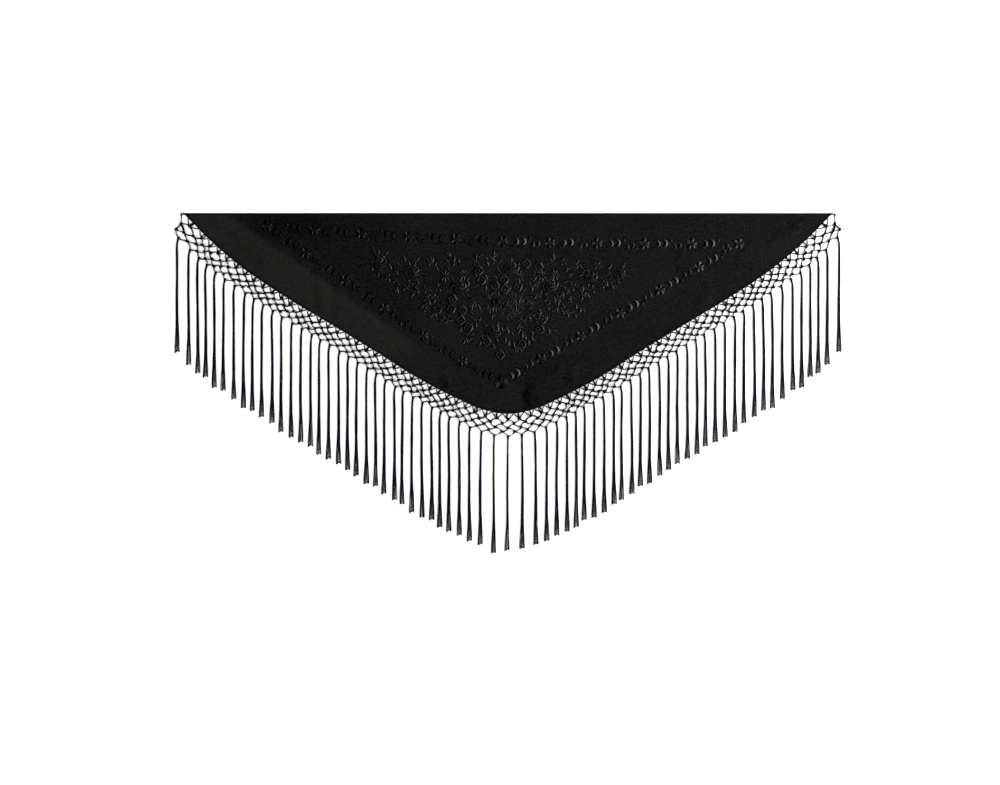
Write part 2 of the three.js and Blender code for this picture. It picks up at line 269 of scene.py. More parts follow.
@dataclass(frozen=True)
class Thread:
    """Twisted black rayon: smooth filaments, which gives a deep black with fine glints along the ply.

    The ply is read along the piece's own UV map, where `ply` is how many turns fit in one of its units. It is
    drawn as coarse as the render can show. Where `brushed` is set, threads lie side by side in a satin that
    shines across them. Where a glint colour is given, the frayed ends of the yarns get painted glints.
    """

    name: str
    dark: str
    light: str
    ply: float
    ply_lean: float
    roughness: float
    specular: float
    bump_mm: float
    # The colour of the painted glints on frayed yarn ends, and how far along the yarn they start
    painted_glint_colour: str = ""
    painted_glint_from: float = 0.94
    brushed: float = 0.0
    shades_per_metre: float = 90.0
    painted_glints_per_metre: float = 420.0

    def material(self) -> bpy.types.Material:
        """Build the thread's material.

        Returns:
            The material.
        """
        material, tree = new_material(self.name)
        coordinates = add_node(tree, "ShaderNodeTexCoord")
        turned = add_node(
            tree,
            "ShaderNodeMapping",
            {"Scale": (self.ply, self.ply_lean, 1.0)},
            {"Vector": coordinates.outputs["UV"]},
        )
        plies = add_node(
            tree,
            "ShaderNodeTexWave",
            {"Scale": WAVE_PERIOD, "Distortion": 0.6, "Detail": 1.0},
            {"Vector": turned.outputs[0]},
            bands_direction="DIAGONAL",
        )
        shade = add_node(
            tree,
            "ShaderNodeTexNoise",
            {"Scale": self.shades_per_metre, "Detail": 3.0},
            {"Vector": coordinates.outputs["Object"]},
        )
        both = add_node(
            tree, "ShaderNodeMix", {"Factor": 0.5}, {"A": plies.outputs["Fac"], "B": shade.outputs["Fac"]}
        )
        colour = ramp(tree, both.outputs[0], [(0.3, self.dark), (0.7, self.light)])
        # Painted glints lighten the frayed yarn ends
        if self.painted_glint_colour:
            colour = self._paint_end_glints(tree, coordinates, colour)
        bump = add_node(
            tree,
            "ShaderNodeBump",
            {"Strength": 0.6, "Distance": self.bump_mm * MM},
            {"Height": plies.outputs["Fac"]},
        )
        shader = add_node(
            tree,
            "ShaderNodeBsdfPrincipled",
            {"Roughness": self.roughness, "Specular IOR Level": self.specular, "Anisotropic": self.brushed},
            {"Base Color": colour, "Normal": bump.outputs[0]},
        )
        if self.brushed:
            # Threads side by side spread the light across themselves and keep it narrow lengthwise
            tangent = add_node(tree, "ShaderNodeTangent", direction_type="UV_MAP")
            tree.links.new(tangent.outputs[0], shader.inputs["Tangent"])
        add_node(tree, "ShaderNodeOutputMaterial", links={"Surface": shader.outputs[0]})
        return material

    def _paint_end_glints(
        self, tree: bpy.types.NodeTree, coordinates: bpy.types.Node, colour: bpy.types.NodeSocket
    ) -> bpy.types.NodeSocket:
        """Paint glints on the frayed ends of the inner yarns, where their loose filaments would catch the light:
        painted highlights in the colour.

        Args:
            tree: the node tree.
            coordinates: its texture coordinates.
            colour: the yarn's colour.

        Returns:
            The colour with painted glints at the ends.
        """
        along = add_node(tree, "ShaderNodeSeparateXYZ", links={"Vector": coordinates.outputs["UV"]})
        at_end = ramp(
            tree,
            along.outputs["X"],
            [(self.painted_glint_from, "000000"), (0.93, "aaaaaa"), (0.975, "ffffff"), (0.99, "000000")],
        )
        painted_glint_specks = add_node(
            tree,
            "ShaderNodeTexNoise",
            {"Scale": self.painted_glints_per_metre, "Detail": 2.0},
            {"Vector": coordinates.outputs["Object"]},
        )
        sharp = add_node(
            tree, "ShaderNodeMapRange", {"From Min": 0.5, "From Max": 0.56}, {"Value": painted_glint_specks.outputs["Fac"]}
        )
        painted_glint_yarns = add_node(tree, "ShaderNodeAttribute", attribute_name=FRAYED_WITH_PAINTED_GLINTS)
        inner = add_node(
            tree, "ShaderNodeMath", links={0: at_end, 1: painted_glint_yarns.outputs["Fac"]}, operation="MULTIPLY"
        )
        share = add_node(
            tree, "ShaderNodeMath", links={0: inner.outputs[0], 1: sharp.outputs[0]}, operation="MULTIPLY"
        )
        with_painted_glints = add_node(
            tree,
            "ShaderNodeMix",
            {"B": linear(self.painted_glint_colour)},
            {"Factor": share.outputs[0], "A": colour},
            data_type="RGBA",
        )
        return with_painted_glints.outputs["Result"]


@dataclass(frozen=True)
class PaleBoard:
    """Matt white-painted board, which gives a plain bright ground with hardly any tone of its own."""

    name: str = "matt_white_board"
    dark: str = "f1f1f0"
    light: str = "f7f7f6"
    patch_mm: float = 300.0

    def material(self) -> bpy.types.Material:
        """Build the floor's material.

        Returns:
            The material.
        """
        material, tree = new_material(self.name)
        place = add_node(tree, "ShaderNodeTexCoord").outputs["Object"]
        patches = add_node(
            tree, "ShaderNodeTexNoise", {"Scale": 1 / (self.patch_mm * MM)}, {"Vector": place}
        )
        colour = ramp(tree, patches.outputs["Fac"], [(0.3, self.dark), (0.7, self.light)])
        shader = add_node(
            tree,
            "ShaderNodeBsdfPrincipled",
            {"Roughness": 0.9, "Specular IOR Level": 0.1},
            {"Base Color": colour},
        )
        add_node(tree, "ShaderNodeOutputMaterial", links={"Surface": shader.outputs[0]})
        return material


@dataclass(frozen=True)
class Fold:
    """A soft ridge of the cloth from one point to another, `width` to each side of it, in millimetres."""

    start: Pair
    end: Pair
    height: float
    width: float
    blunt: float = 1.3  # how soon the ridge is at its full height

    def rise(self, x: np.ndarray, y: np.ndarray) -> np.ndarray:
        """Give how far the ridge lifts the cloth.

        Args:
            x: places across, in millimetres.
            y: places down, in millimetres.

        Returns:
            The rise at each place, in millimetres.
        """
        run_x, run_y = self.end[0] - self.start[0], self.end[1] - self.start[1]
        length = math.hypot(run_x, run_y)
        along = ((x - self.start[0]) * run_x + (y - self.start[1]) * run_y) / length**2
        aside = ((x - self.start[0]) * run_y - (y - self.start[1]) * run_x) / length / self.width
        inside = (along > 0) & (along < 1) & (np.abs(aside) < 1)
        across = (1 - np.clip(aside * aside, 0, 1)) ** 2
        lengthwise = smooth_step(self.blunt * np.sin(np.pi * np.clip(along, 0, 1)))
        return np.where(inside, self.height * across * lengthwise, 0.0)


@dataclass(frozen=True)
class PaintedShadingPatch:
    """A soft oval of painted light or painted shade, where the cloth's colour is lighter or darker than round it,
    turned by so many degrees.
    """

    centre: Pair
    half_size: Pair
    change: float
    turn: float = 0.0

    def add(self, x: np.ndarray, y: np.ndarray) -> np.ndarray:
        """Give the change of the painted light and shade.

        Args:
            x: places across, in millimetres.
            y: places down, in millimetres.

        Returns:
            The change at each place.
        """
        turn = math.radians(self.turn)
        right, up = x - self.centre[0], y - self.centre[1]
        along = (right * math.cos(turn) + up * math.sin(turn)) / self.half_size[0]
        across = (up * math.cos(turn) - right * math.sin(turn)) / self.half_size[1]
        return self.change * np.exp(-(along**2) - across**2)


# Painted light and shade: the streaks and soft patches that the cloth's folds would light and shade, painted into
# its colour. The darkest is a painted shadow in the crease near the point.
PAINTED_SHADING_PATCHES = (
    PaintedShadingPatch((-434, -24), (150, 42), -0.1),
    PaintedShadingPatch((-454, -175), (9, 50), 0.08, 5),
    PaintedShadingPatch((-441, -185), (7, 50), -0.12, 5),
    PaintedShadingPatch((-422, -190), (12, 55), 0.12, 5),
    PaintedShadingPatch((-397, -200), (9, 50), -0.12, 5),
    PaintedShadingPatch((-380, -205), (10, 45), 0.06, 5),
    PaintedShadingPatch((360, -196), (13, 50), 0.07, -6),
    PaintedShadingPatch((393, -200), (10, 45), -0.06, -6),
    PaintedShadingPatch((419, -204), (9, 45), 0.09, -6),
    PaintedShadingPatch((444, -206), (9, 40), -0.1, -8),
    PaintedShadingPatch((469, -196), (11, 40), 0.07, -10),
    PaintedShadingPatch((650, -60), (90, 30), 0.08, 30),
    PaintedShadingPatch((51, -432), (11, 27), -1.6, 6),
    PaintedShadingPatch((-146, -396), (6, 17), -0.3, -12),
    PaintedShadingPatch((146, -392), (6, 17), -0.3, 10),
    PaintedShadingPatch((-653, -36), (34, 9), -0.16, -35),
    PaintedShadingPatch((651, -38), (34, 9), -0.14, 35),
    PaintedShadingPatch((28, -92), (10, 26), 0.07),
    PaintedShadingPatch((92, -96), (12, 30), 0.08),
    PaintedShadingPatch((168, -98), (12, 28), 0.07),
    PaintedShadingPatch((60, -94), (10, 26), -0.05),
    PaintedShadingPatch((128, -96), (12, 26), -0.05),
    PaintedShadingPatch((230, -196), (110, 16), 0.06, 24),
    PaintedShadingPatch((20, -420), (90, 26), 0.05),
    PaintedShadingPatch((-230, -320), (80, 20), 0.06, -34),
)

# The folds that the CAD model's cloth has too
MAIN_FOLDS = (
    Fold((-640, -18), (-285, -262), 5.0, 62),
    Fold((-444, -120), (-408, -262), 3.2, 30),
    Fold((398, -70), (452, -240), 3.6, 34),
    Fold((40, -250), (150, -398), 2.4, 44),
    Fold((46, -404), (57, -468), 4.2, 15),
    Fold((-152, -346), (-138, -424), 3.0, 18),
    Fold((150, -344), (142, -422), 2.6, 16),
    Fold((-30, -100), (225, -112), 1.6, 26),
    Fold((-690, -14), (-598, -70), 1.8, 20),
    Fold((690, -14), (600, -72), 1.8, 20),
)
# Finer creases between them
FINE_FOLDS = (
    Fold((430, -96), (486, -232), 1.5, 15),
    Fold((-480, -150), (-452, -236), 1.3, 15),
    Fold((20, -78), (34, -130), 0.8, 12),
    Fold((96, -80), (104, -132), 0.9, 13),
    Fold((180, -84), (176, -140), 0.8, 12),
    Fold((-250, -300), (-226, -356), 1.2, 14),
    Fold((560, -60), (520, -150), 1.2, 16),
)


@dataclass
class Plan:
    """Where everything on the flat shawl is, from the same sizes as the CAD model's.

    A pitch is the space from one tassel to the next along the lower edge. `depths` are pairs of a distance
    from the middle and the cloth's depth there, and `net_depths` pairs of pitches from a tip and the net's
    depth there.
    """

    width: float = 1500.0
    depths: tuple[Pair, ...] = (
        (0, 464), (60, 453), (120, 427), (210, 380), (300, 323),
        (400, 262), (500, 202), (600, 136), (680, 70), (750, 0),
    )
    tassels: int = 69
    seam: float = 0.3
    net_depths: tuple[Pair, ...] = ((0, 47), (5, 47), (9, 42.5), (28, 43), (35, 52))
    shift_most: float = 0.8
    shift_whole: float = 2.2
    shift_until: float = 22.0
    uneven_along: float = 0.07
    uneven_across: float = 0.018
    fold_fade: float = 26.0
    edge_samples: int = 3001
    area_samples: int = 2001
    pitches: int = field(init=False)
    middle: float = field(init=False)
    upper_y: float = field(init=False)
    corners: np.ndarray = field(init=False)
    outwards: np.ndarray = field(init=False)

    def __post_init__(self) -> None:
        """Space the corners of the lower edge evenly and work out the way outwards at each."""
        self.pitches = self.tassels + 1
        self.middle = self.pitches / 2
        self.upper_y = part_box("hem_upper")[1].y
        share = np.linspace(0, 1, self.edge_samples)
        line = np.stack([(share - 0.5) * self.width, -self.depth((share - 0.5) * self.width)], axis=1)
        travelled = np.concatenate([[0], np.cumsum(np.linalg.norm(np.diff(line, axis=0), axis=1))])
        even = np.interp(np.linspace(0, travelled[-1], self.pitches + 1), travelled, share)
        across = (even - 0.5) * self.width
        self.corners = np.stack([across, -self.depth(across)], axis=1)
        chords = np.diff(self.corners, axis=0)
        chords /= np.linalg.norm(chords, axis=1)[:, None]
        normals = np.stack([chords[:, 1], -chords[:, 0]], axis=1)
        before = np.concatenate([normals[:1], normals])
        after = np.concatenate([normals, normals[-1:]])
        self.outwards = (before + after) / (1 + (before * after).sum(1))[:, None]

    def depth(self, x: np.ndarray | float) -> np.ndarray:
        """Give how deep the cloth is at x.

        Args:
            x: places across, in millimetres.

        Returns:
            The depth below the upper edge at each, in millimetres.
        """
        at, depth = np.array(self.depths, float).T
        slope = np.zeros(len(at))
        slope[1:-1] = (depth[2:] - depth[:-2]) / (at[2:] - at[:-2])
        slope[-1] = (depth[-1] - depth[-2]) / (at[-1] - at[-2])
        across = np.minimum(np.abs(x), self.width / 2)
        i = np.clip(np.searchsorted(at, across) - 1, 0, len(at) - 2)
        step = at[i + 1] - at[i]
        t = (across - at[i]) / step
        through = (1 + 2 * t) * (1 - t) ** 2 * depth[i] + t * t * (3 - 2 * t) * depth[i + 1]
        return through + step * (t * (1 - t) ** 2 * slope[i] + t * t * (t - 1) * slope[i + 1])

    def flat_area(self) -> float:
        """Give the cloth's flat area in square metres."""
        across = np.linspace(-self.width / 2, self.width / 2, self.area_samples)
        return float(self.depth(across).mean()) * self.width * MM * MM

    def beside_edge(self, pitches: float, distance: float) -> np.ndarray:
        """Find a point beside the lower edge.

        Args:
            pitches: how far along it from the left tip, in tassel spaces.
            distance: how far outside it, in millimetres.

        Returns:
            The point's x and y.
        """
        k = int(min(max(math.floor(pitches), 0), self.pitches - 1))
        t = pitches - k
        along = (1 - t) * self.corners[k] + t * self.corners[k + 1]
        return along + distance * ((1 - t) * self.outwards[k] + t * self.outwards[k + 1])

    def outward(self, pitches: float) -> np.ndarray:
        """Give the unit direction outwards from the lower edge."""
        way = self.beside_edge(pitches, 1.0) - self.beside_edge(pitches, 0.0)
        return way / np.linalg.norm(way)

    def rise(self, x: np.ndarray, y: np.ndarray) -> np.ndarray:
        """Give how far the folds lift the cloth.

        Args:
            x: places across, in millimetres.
            y: places down, in millimetres.

        Returns:
            The height of the cloth's underside at each place, in millimetres.
        """
        from_edge = np.minimum(-y, y + self.depth(x))
        total = sum(fold.rise(x, y) for fold in MAIN_FOLDS + FINE_FOLDS)
        return smooth_step(from_edge / self.fold_fade) * total

    def net_depth(self, pitches: float) -> float:
        """Give the net's depth.

        Args:
            pitches: how far it is from a tip, in tassel spaces.

        Returns:
            The depth there, in millimetres.
        """
        rows = self.net_depths
        after = max(next(i for i, row in enumerate(rows) if row[0] >= pitches), 1)
        (start, low), (end, high) = rows[after - 1], rows[after]
        return float(low + smooth_step((pitches - start) / (end - start)) * (high - low))

    def column(self, index: float) -> float:
        """Give a column's place along the edge: a pitch apart, crowded a little near the middle.

        Args:
            index: the column, from the left. Tassels have whole numbers.

        Returns:
            How far it is along the edge, in tassel spaces.
        """
        if index > self.middle:
            return self.pitches - self.column(self.pitches - index)
        before_middle = smooth_step((index - self.shift_until) / (self.middle - self.shift_until))
        return float(index + self.shift_most * smooth_step(index / self.shift_whole) * (1 - before_middle))

    def uneven(self, index: float, salt: float) -> float:
        """Give a number that is the same on both halves and has no pattern.

        Args:
            index: the column that it is for.
            salt: what tells apart the numbers of one column.

        Returns:
            The number, from -1 to 1.
        """
        mirrored = min(index, self.pitches - index)
        wave = math.sin(mirrored * 127.1 + salt * 311.7) * 43758.5453
        return 2 * (wave - math.floor(wave)) - 1

    def knot(self, index: float, row: Row) -> np.ndarray:
        """Find the middle of a knot of the net.

        Args:
            index: the knot's column. Tassels have whole numbers.
            row: the knot's row.

        Returns:
            The point's x and y.
        """
        if index > self.middle:
            return self.knot(self.pitches - index, row) * (-1, 1)
        salt = 1 + list(Row).index(row)
        pitches = self.column(index) + self.uneven_along * self.uneven(index, salt)
        share = row.value + self.uneven_across * self.uneven(index, salt + 10)
        place = self.beside_edge(pitches, self.seam + share * self.net_depth(pitches))
        return place * (0, 1) if index == self.middle else place

    def to_frame(self, points: np.ndarray) -> np.ndarray:
        """Turn points of the plan into points of the CAD model's frame.

        Args:
            points: rows of x, y and z in millimetres.

        Returns:
            The rows in metres.
        """
        return np.asarray(points, float) * MM + (0.0, self.upper_y, 0.0)


class Yarns:
    """Yarns drawn as the splines of one round curve, which becomes one mesh."""

    PAIR_POINTS: ClassVar[int] = 7
    POINTS_A_TURN: ClassVar[int] = 7
    PAIR_TALL: ClassVar[float] = 0.8  # a pair's height for its width
    WINDING_TALL: ClassVar[float] = 0.72  # a winding's height for its width
    WELD: ClassVar[float] = 1e-7  # in metres

    def __init__(self, name: str, plan: Plan, radius: float, rounder: int) -> None:
        """Start with no yarns.

        Args:
            name: the curve's name.
            plan: the shawl's plan.
            radius: a yarn's radius in millimetres.
            rounder: 0 for four sides, 1 for six, 2 for eight.
        """
        self.plan = plan
        self.curve = bpy.data.curves.new(name, "CURVE")
        self.curve.dimensions = "3D"
        self.curve.bevel_depth = radius * MM
        self.curve.bevel_resolution = rounder
        self.curve.use_fill_caps = True

    def lay(self, points: np.ndarray, thickness: Sequence[float] | None = None) -> None:
        """Lay one yarn.

        Args:
            points: what it runs through, in millimetres.
            thickness: its radius at each point, as a share of the full one.
        """
        placed = self.plan.to_frame(points)
        spline = self.curve.splines.new("POLY")
        spline.points.add(len(placed) - 1)
        spline.points.foreach_set("co", np.column_stack([placed, np.ones(len(placed))]).ravel())
        if thickness is not None:
            spline.points.foreach_set("radius", list(thickness))

    def pair(
        self,
        start: np.ndarray,
        end: np.ndarray,
        apart: float,
        turns: float,
        phase: float,
        height: float,
        bow: float = 0.0,
    ) -> None:
        """Lay two yarns side by side that wind round each other between two knots.

        Args:
            start: the first knot's x and y.
            end: the second knot's x and y.
            apart: half the distance between the two yarns, in millimetres.
            turns: how often they wind round each other.
            phase: where the winding starts, as a share of a turn.
            height: how high the middle of the pair is, in millimetres.
            bow: how far the pair's middle lies to the left of the straight line.
        """
        steps = np.linspace(0, 1, self.PAIR_POINTS)
        way = (end - start) / np.linalg.norm(end - start)
        aside = np.array([-way[1], way[0]])
        open_by = apart * (0.4 + 0.6 * np.sin(np.pi * steps))
        # The knots hold the yarns upright, so they leave and reach them steeply
        eased = np.column_stack([0.35 * steps + 0.65 * smooth_step(steps), steps])
        for half_turn in (0.0, 0.5):
            angle = 2 * np.pi * (phase + half_turn + turns * steps)
            across = open_by * np.cos(angle) + bow * np.sin(np.pi * steps)
            flat = start + eased * (end - start) + np.outer(across, aside)
            self.lay(np.column_stack([flat, height + self.PAIR_TALL * open_by * np.sin(angle)]))

    def wraps(
        self, centre: np.ndarray, axis: np.ndarray, radius: float, length: float, turns: float, height: float
    ) -> None:
        """Wind a yarn round a knot or a tassel's head.

        Args:
            centre: the knot's x and y.
            axis: the unit direction that the winding runs along.
            radius: the winding's radius in millimetres.
            length: how far it runs, in millimetres.
            turns: the number of turns.
            height: how high the middle of the knot is, in millimetres.
        """
        steps = np.linspace(0, 1, round(turns * self.POINTS_A_TURN) + 1)
        angle = 2 * np.pi * turns * steps
        aside = np.array([-axis[1], axis[0]])
        swell = radius * (0.82 + 0.18 * np.sin(np.pi * steps))
        flat = centre + np.outer((steps - 0.5) * length, axis) + np.outer(swell * np.cos(angle), aside)
        self.lay(np.column_stack([flat, height + self.WINDING_TALL * swell * np.sin(angle)]))

    def mesh(self) -> bpy.types.Mesh:
        """Turn the yarns into one mesh with closed ends.

        Returns:
            The mesh.
        """
        drawn = bpy.data.objects.new(self.curve.name, self.curve)
        mesh = bpy.data.meshes.new_from_object(drawn)
        mesh.name = self.curve.name
        bpy.data.objects.remove(drawn)
        bpy.data.curves.remove(self.curve)
        work = bmesh.new()
        work.from_mesh(mesh)
        bmesh.ops.remove_doubles(work, verts=work.verts, dist=self.WELD)
        work.to_mesh(mesh)
        work.free()
        mesh.shade_smooth()
        return mesh


def joined(name: str, meshes: Sequence[bpy.types.Mesh]) -> bpy.types.Mesh:
    """Join meshes into one.

    Args:
        name: the new mesh's name.
        meshes: the meshes, which are removed.

    Returns:
        The new mesh.
    """
    work = bmesh.new()
    for mesh in meshes:
        work.from_mesh(mesh)
    whole = bpy.data.meshes.new(name)
    work.to_mesh(whole)
    work.free()
    for mesh in meshes:
        bpy.data.meshes.remove(mesh)
    whole.shade_smooth()
    return whole


def add_piece(
    name: str, mesh: bpy.types.Mesh, material: bpy.types.Material, nodes: Sequence[str] = ()
) -> bpy.types.Object:
    """Put a finished mesh into the scene as a piece of the shawl.

    Args:
        name: the piece's name.
        mesh: its mesh, in the CAD model's frame.
        material: its material.
        nodes: the CAD nodes that it replaces.

    Returns:
        The piece.
    """
    mesh.name = name
    mesh.materials.clear()
    mesh.materials.append(material)
    piece = bpy.data.objects.new(name, mesh)
    bpy.context.scene.collection.objects.link(piece)
    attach(piece, BODY)
    if nodes:
        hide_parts(*nodes)
    mesh.calc_loop_triangles()
    LOG.info("%s: %d triangles", name, len(mesh.loop_triangles))
    return piece


@dataclass
class Cloth:
    """The three-cornered panel: a thin shell on the form of its solid, with the fine creases as well."""

    plan: Plan
    columns: int = 280
    rows: int = 84
    inside: float = 2.5
    shortest: float = 3.0
    thickness: float = 0.5
    clearance: float = 0.1
    # The painted light and shade of the folds: a light band beside the left diagonal fold, a painted shadow above
    # it and painted darkening towards the right
    band_start: Pair = (-634.0, 0.0)
    band_run: Pair = (357.0, -247.0)
    painted_band_light: float = 0.44
    painted_shadow_strength: float = 0.14
    painted_shading_left: float = 0.39
    painted_shade_middle_drop: float = 0.06
    painted_shade_per_mm: float = 0.00013
    least_painted_shading: float = 0.03
    most_painted_shading: float = 0.97
    pucker_waves: tuple[tuple[float, float, float], ...] = (
        # length, direction, phase
        (31, 0.3, 0.7), (47, 1.4, 2.1), (23, 2.2, 0.4), (61, 2.9, 1.3),
    )
    pucker_height: float = 0.06
    pucker_mean: float = 0.1
    top: float = field(init=False)

    def __post_init__(self) -> None:
        """Work out how high the cloth's upper face is above its folds."""
        self.top = self.clearance + self.thickness

    def outline(self, x: np.ndarray) -> np.ndarray:
        """Give where the panel ends under the lower hem at x, in millimetres."""
        line = np.array([self.plan.beside_edge(k, -self.inside) for k in range(self.plan.pitches + 1)])
        return np.interp(x, line[:, 0], line[:, 1])

    def build(self) -> bpy.types.Mesh:
        """Build the panel from a grid that is drawn to its outline, laid over the folds and made a wall.

        Returns:
            The panel's mesh.
        """
        work = bmesh.new()
        bmesh.ops.create_grid(work, x_segments=self.columns, y_segments=self.rows, size=0.5)
        places = np.array([vert.co for vert in work.verts])
        reach = self.plan.width / 2
        # The grid ends beside each tip, where the panel is still this deep
        while -self.inside - self.outline(np.array([reach]))[0] < self.shortest:
            reach -= 0.5
        x = places[:, 0] * 2 * reach
        low = self.outline(x)
        y = low + (places[:, 1] + 0.5) * (-self.inside - low)
        z = self.plan.rise(x, y) + self.top + self.pucker(x, y)
        for vert, place in zip(work.verts, self.plan.to_frame(np.column_stack([x, y, z]))):
            vert.co = place
        bmesh.ops.solidify(work, geom=work.faces[:], thickness=self.thickness * MM)
        # The operator adds the rim's faces in any order, and each run has to give the same mesh
        in_order = sorted(work.faces, key=lambda face: sorted(tuple(vert.co) for vert in face.verts))
        for index, face in enumerate(in_order):
            face.index = index
        work.faces.sort()
        bmesh.ops.recalc_face_normals(work, faces=work.faces[:])
        mesh = bpy.data.meshes.new("cloth")
        work.to_mesh(mesh)
        work.free()
        mesh.shade_smooth()
        placed = np.zeros(len(mesh.vertices) * 3)
        mesh.vertices.foreach_get("co", placed)
        flat = (placed.reshape(-1, 3) - (0.0, self.plan.upper_y, 0.0)) / MM
        # Painted light and shade of the folds, which the cloth's colour is read from
        sheen = mesh.attributes.new(PAINTED_SHADING, "FLOAT", "POINT")
        sheen.data.foreach_set("value", self.sheen(flat[:, 0], flat[:, 1]))
        return mesh

    def sheen(self, x: np.ndarray, y: np.ndarray) -> np.ndarray:
        """Give the cloth's painted light and shade: lighter in a band beside the left diagonal fold, a painted
        shadow above it, darker towards the right, with the painted streaks and patches of the folds.

        Args:
            x: places across, in millimetres.
            y: places down, in millimetres.

        Returns:
            How light the cloth's colour is painted at each place, from 0 to 1.
        """
        start, run = self.band_start, self.band_run
        length = math.hypot(*run)
        along = ((x - start[0]) * run[0] + (y - start[1]) * run[1]) / length**2
        aside = ((x - start[0]) * run[1] - (y - start[1]) * run[0]) / length
        # Painted light in a band beside the fold, and a painted shadow above it
        painted_light_band = smooth_step((aside - 3) / 14) * (1 - smooth_step((along - 0.95) / 0.4))
        painted_light_band = painted_light_band * (1 - 0.3 * smooth_step(aside / 80))
        painted_shadow = np.exp(-(((aside + 50) / 80) ** 2)) * smooth_step(along / 0.2)
        painted_shadow = painted_shadow * (1 - smooth_step((along - 0.8) / 0.6))
        # Painted shade: the colour darkens towards the right
        value = self.painted_shading_left - self.painted_shade_middle_drop * smooth_step((x + 250) / 300)
        value = value - self.painted_shade_per_mm * np.maximum(x, 0)
        value = value + self.painted_band_light * painted_light_band - self.painted_shadow_strength * painted_shadow
        # The painted streaks and patches of the folds
        patches = sum(patch.add(x, y) for patch in PAINTED_SHADING_PATCHES)
        return np.clip(value + patches, self.least_painted_shading, self.most_painted_shading)

    def pucker(self, x: np.ndarray, y: np.ndarray) -> np.ndarray:
        """Give the slight unevenness that the stitching draws into the cloth.

        Args:
            x: places across, in millimetres.
            y: places down, in millimetres.

        Returns:
            How much higher the cloth is at each place, in millimetres.
        """
        total = sum(
            np.sin((x * math.cos(way) + y * math.sin(way)) / size * 2 * np.pi + phase)
            for size, way, phase in self.pucker_waves
        )
        return self.pucker_height * total + self.pucker_mean


@dataclass
class Hems:
    """The rolled hems, each a soft roll of the cloth held by slanted hand stitches."""

    plan: Plan
    width: float = 5.0
    height: float = 2.2
    stitch_every: float = 5.2
    stitch_radius: float = 0.28
    first_stitch: float = 4.0
    under: float = 0.02
    upper_inset: float = 0.6
    upper_points: int = 241
    lower_start: float = 0.22
    lower_gap: float = 0.006
    lower_points: int = 141

    def upper_line(self) -> np.ndarray:
        """Give the middle line of the upper hem.

        Returns:
            Its points, in millimetres.
        """
        reach = self.plan.width / 2 - self.upper_inset
        across = np.linspace(-reach, reach, self.upper_points)
        return np.column_stack([across, np.full(len(across), -self.width / 2)])

    def lower_line(self, half: Half) -> np.ndarray:
        """Give the middle line of one lower hem.

        Args:
            half: the half of the shawl that it is on.

        Returns:
            Its points from its tip to the middle, in millimetres.
        """
        last = self.plan.middle - self.lower_gap
        steps = np.linspace(self.lower_start, last, self.lower_points)
        line = np.array([self.plan.beside_edge(step, -self.width / 2) for step in steps])
        return line * (-half.value, 1)

    def roll(self, name: str, line: np.ndarray) -> bpy.types.Mesh:
        """Roll a hem along a line.

        Args:
            name: the mesh's name.
            line: its middle line, in millimetres.

        Returns:
            The roll's mesh.
        """
        rolled = Yarns(name, self.plan, self.width / 2, 2)
        size = [0.95 + 0.05 * math.sin(i * 1.9) * math.sin(i * 0.37) for i in range(len(line))]
        rolled.lay(np.column_stack([line, np.zeros(len(line))]), size)
        mesh = rolled.mesh()
        mesh.transform(Matrix.Diagonal((1, 1, self.height / self.width, 1)))
        mesh.transform(Matrix.Translation((0, 0, (self.height / 2 + self.under) * MM)))
        return mesh

    def stitches(self, name: str, line: np.ndarray, inward: float) -> bpy.types.Mesh:
        """Sew the slanted stitches over a hem's inner edge.

        Args:
            name: the mesh's name.
            line: the hem's middle line, in millimetres.
            inward: 1 where the cloth is to the left of the line, else -1.

        Returns:
            The stitches' mesh.
        """
        thread = Yarns(name, self.plan, self.stitch_radius, 0)
        steps = np.concatenate([[0], np.cumsum(np.linalg.norm(np.diff(line, axis=0), axis=1))])
        # Each stitch starts outside the hem's crest, goes over it and ends in the cloth
        stations = ((-0.6, 0.1, self.height + 0.1), (0.5, 1.5, self.height * 0.93), (1.3, 2.9, 0.75))
        for at in np.arange(self.first_stitch, steps[-1] - self.first_stitch, self.stitch_every):
            middle = np.array([np.interp(at, steps, line[:, k]) for k in (0, 1)])
            ahead = np.array([np.interp(at + 1, steps, line[:, k]) for k in (0, 1)])
            way = ahead - middle
            inner = np.array([-way[1], way[0]]) * inward
            thread.lay(np.array([[*(middle + way * a + inner * b), z] for a, b, z in stations]))
        return thread.mesh()


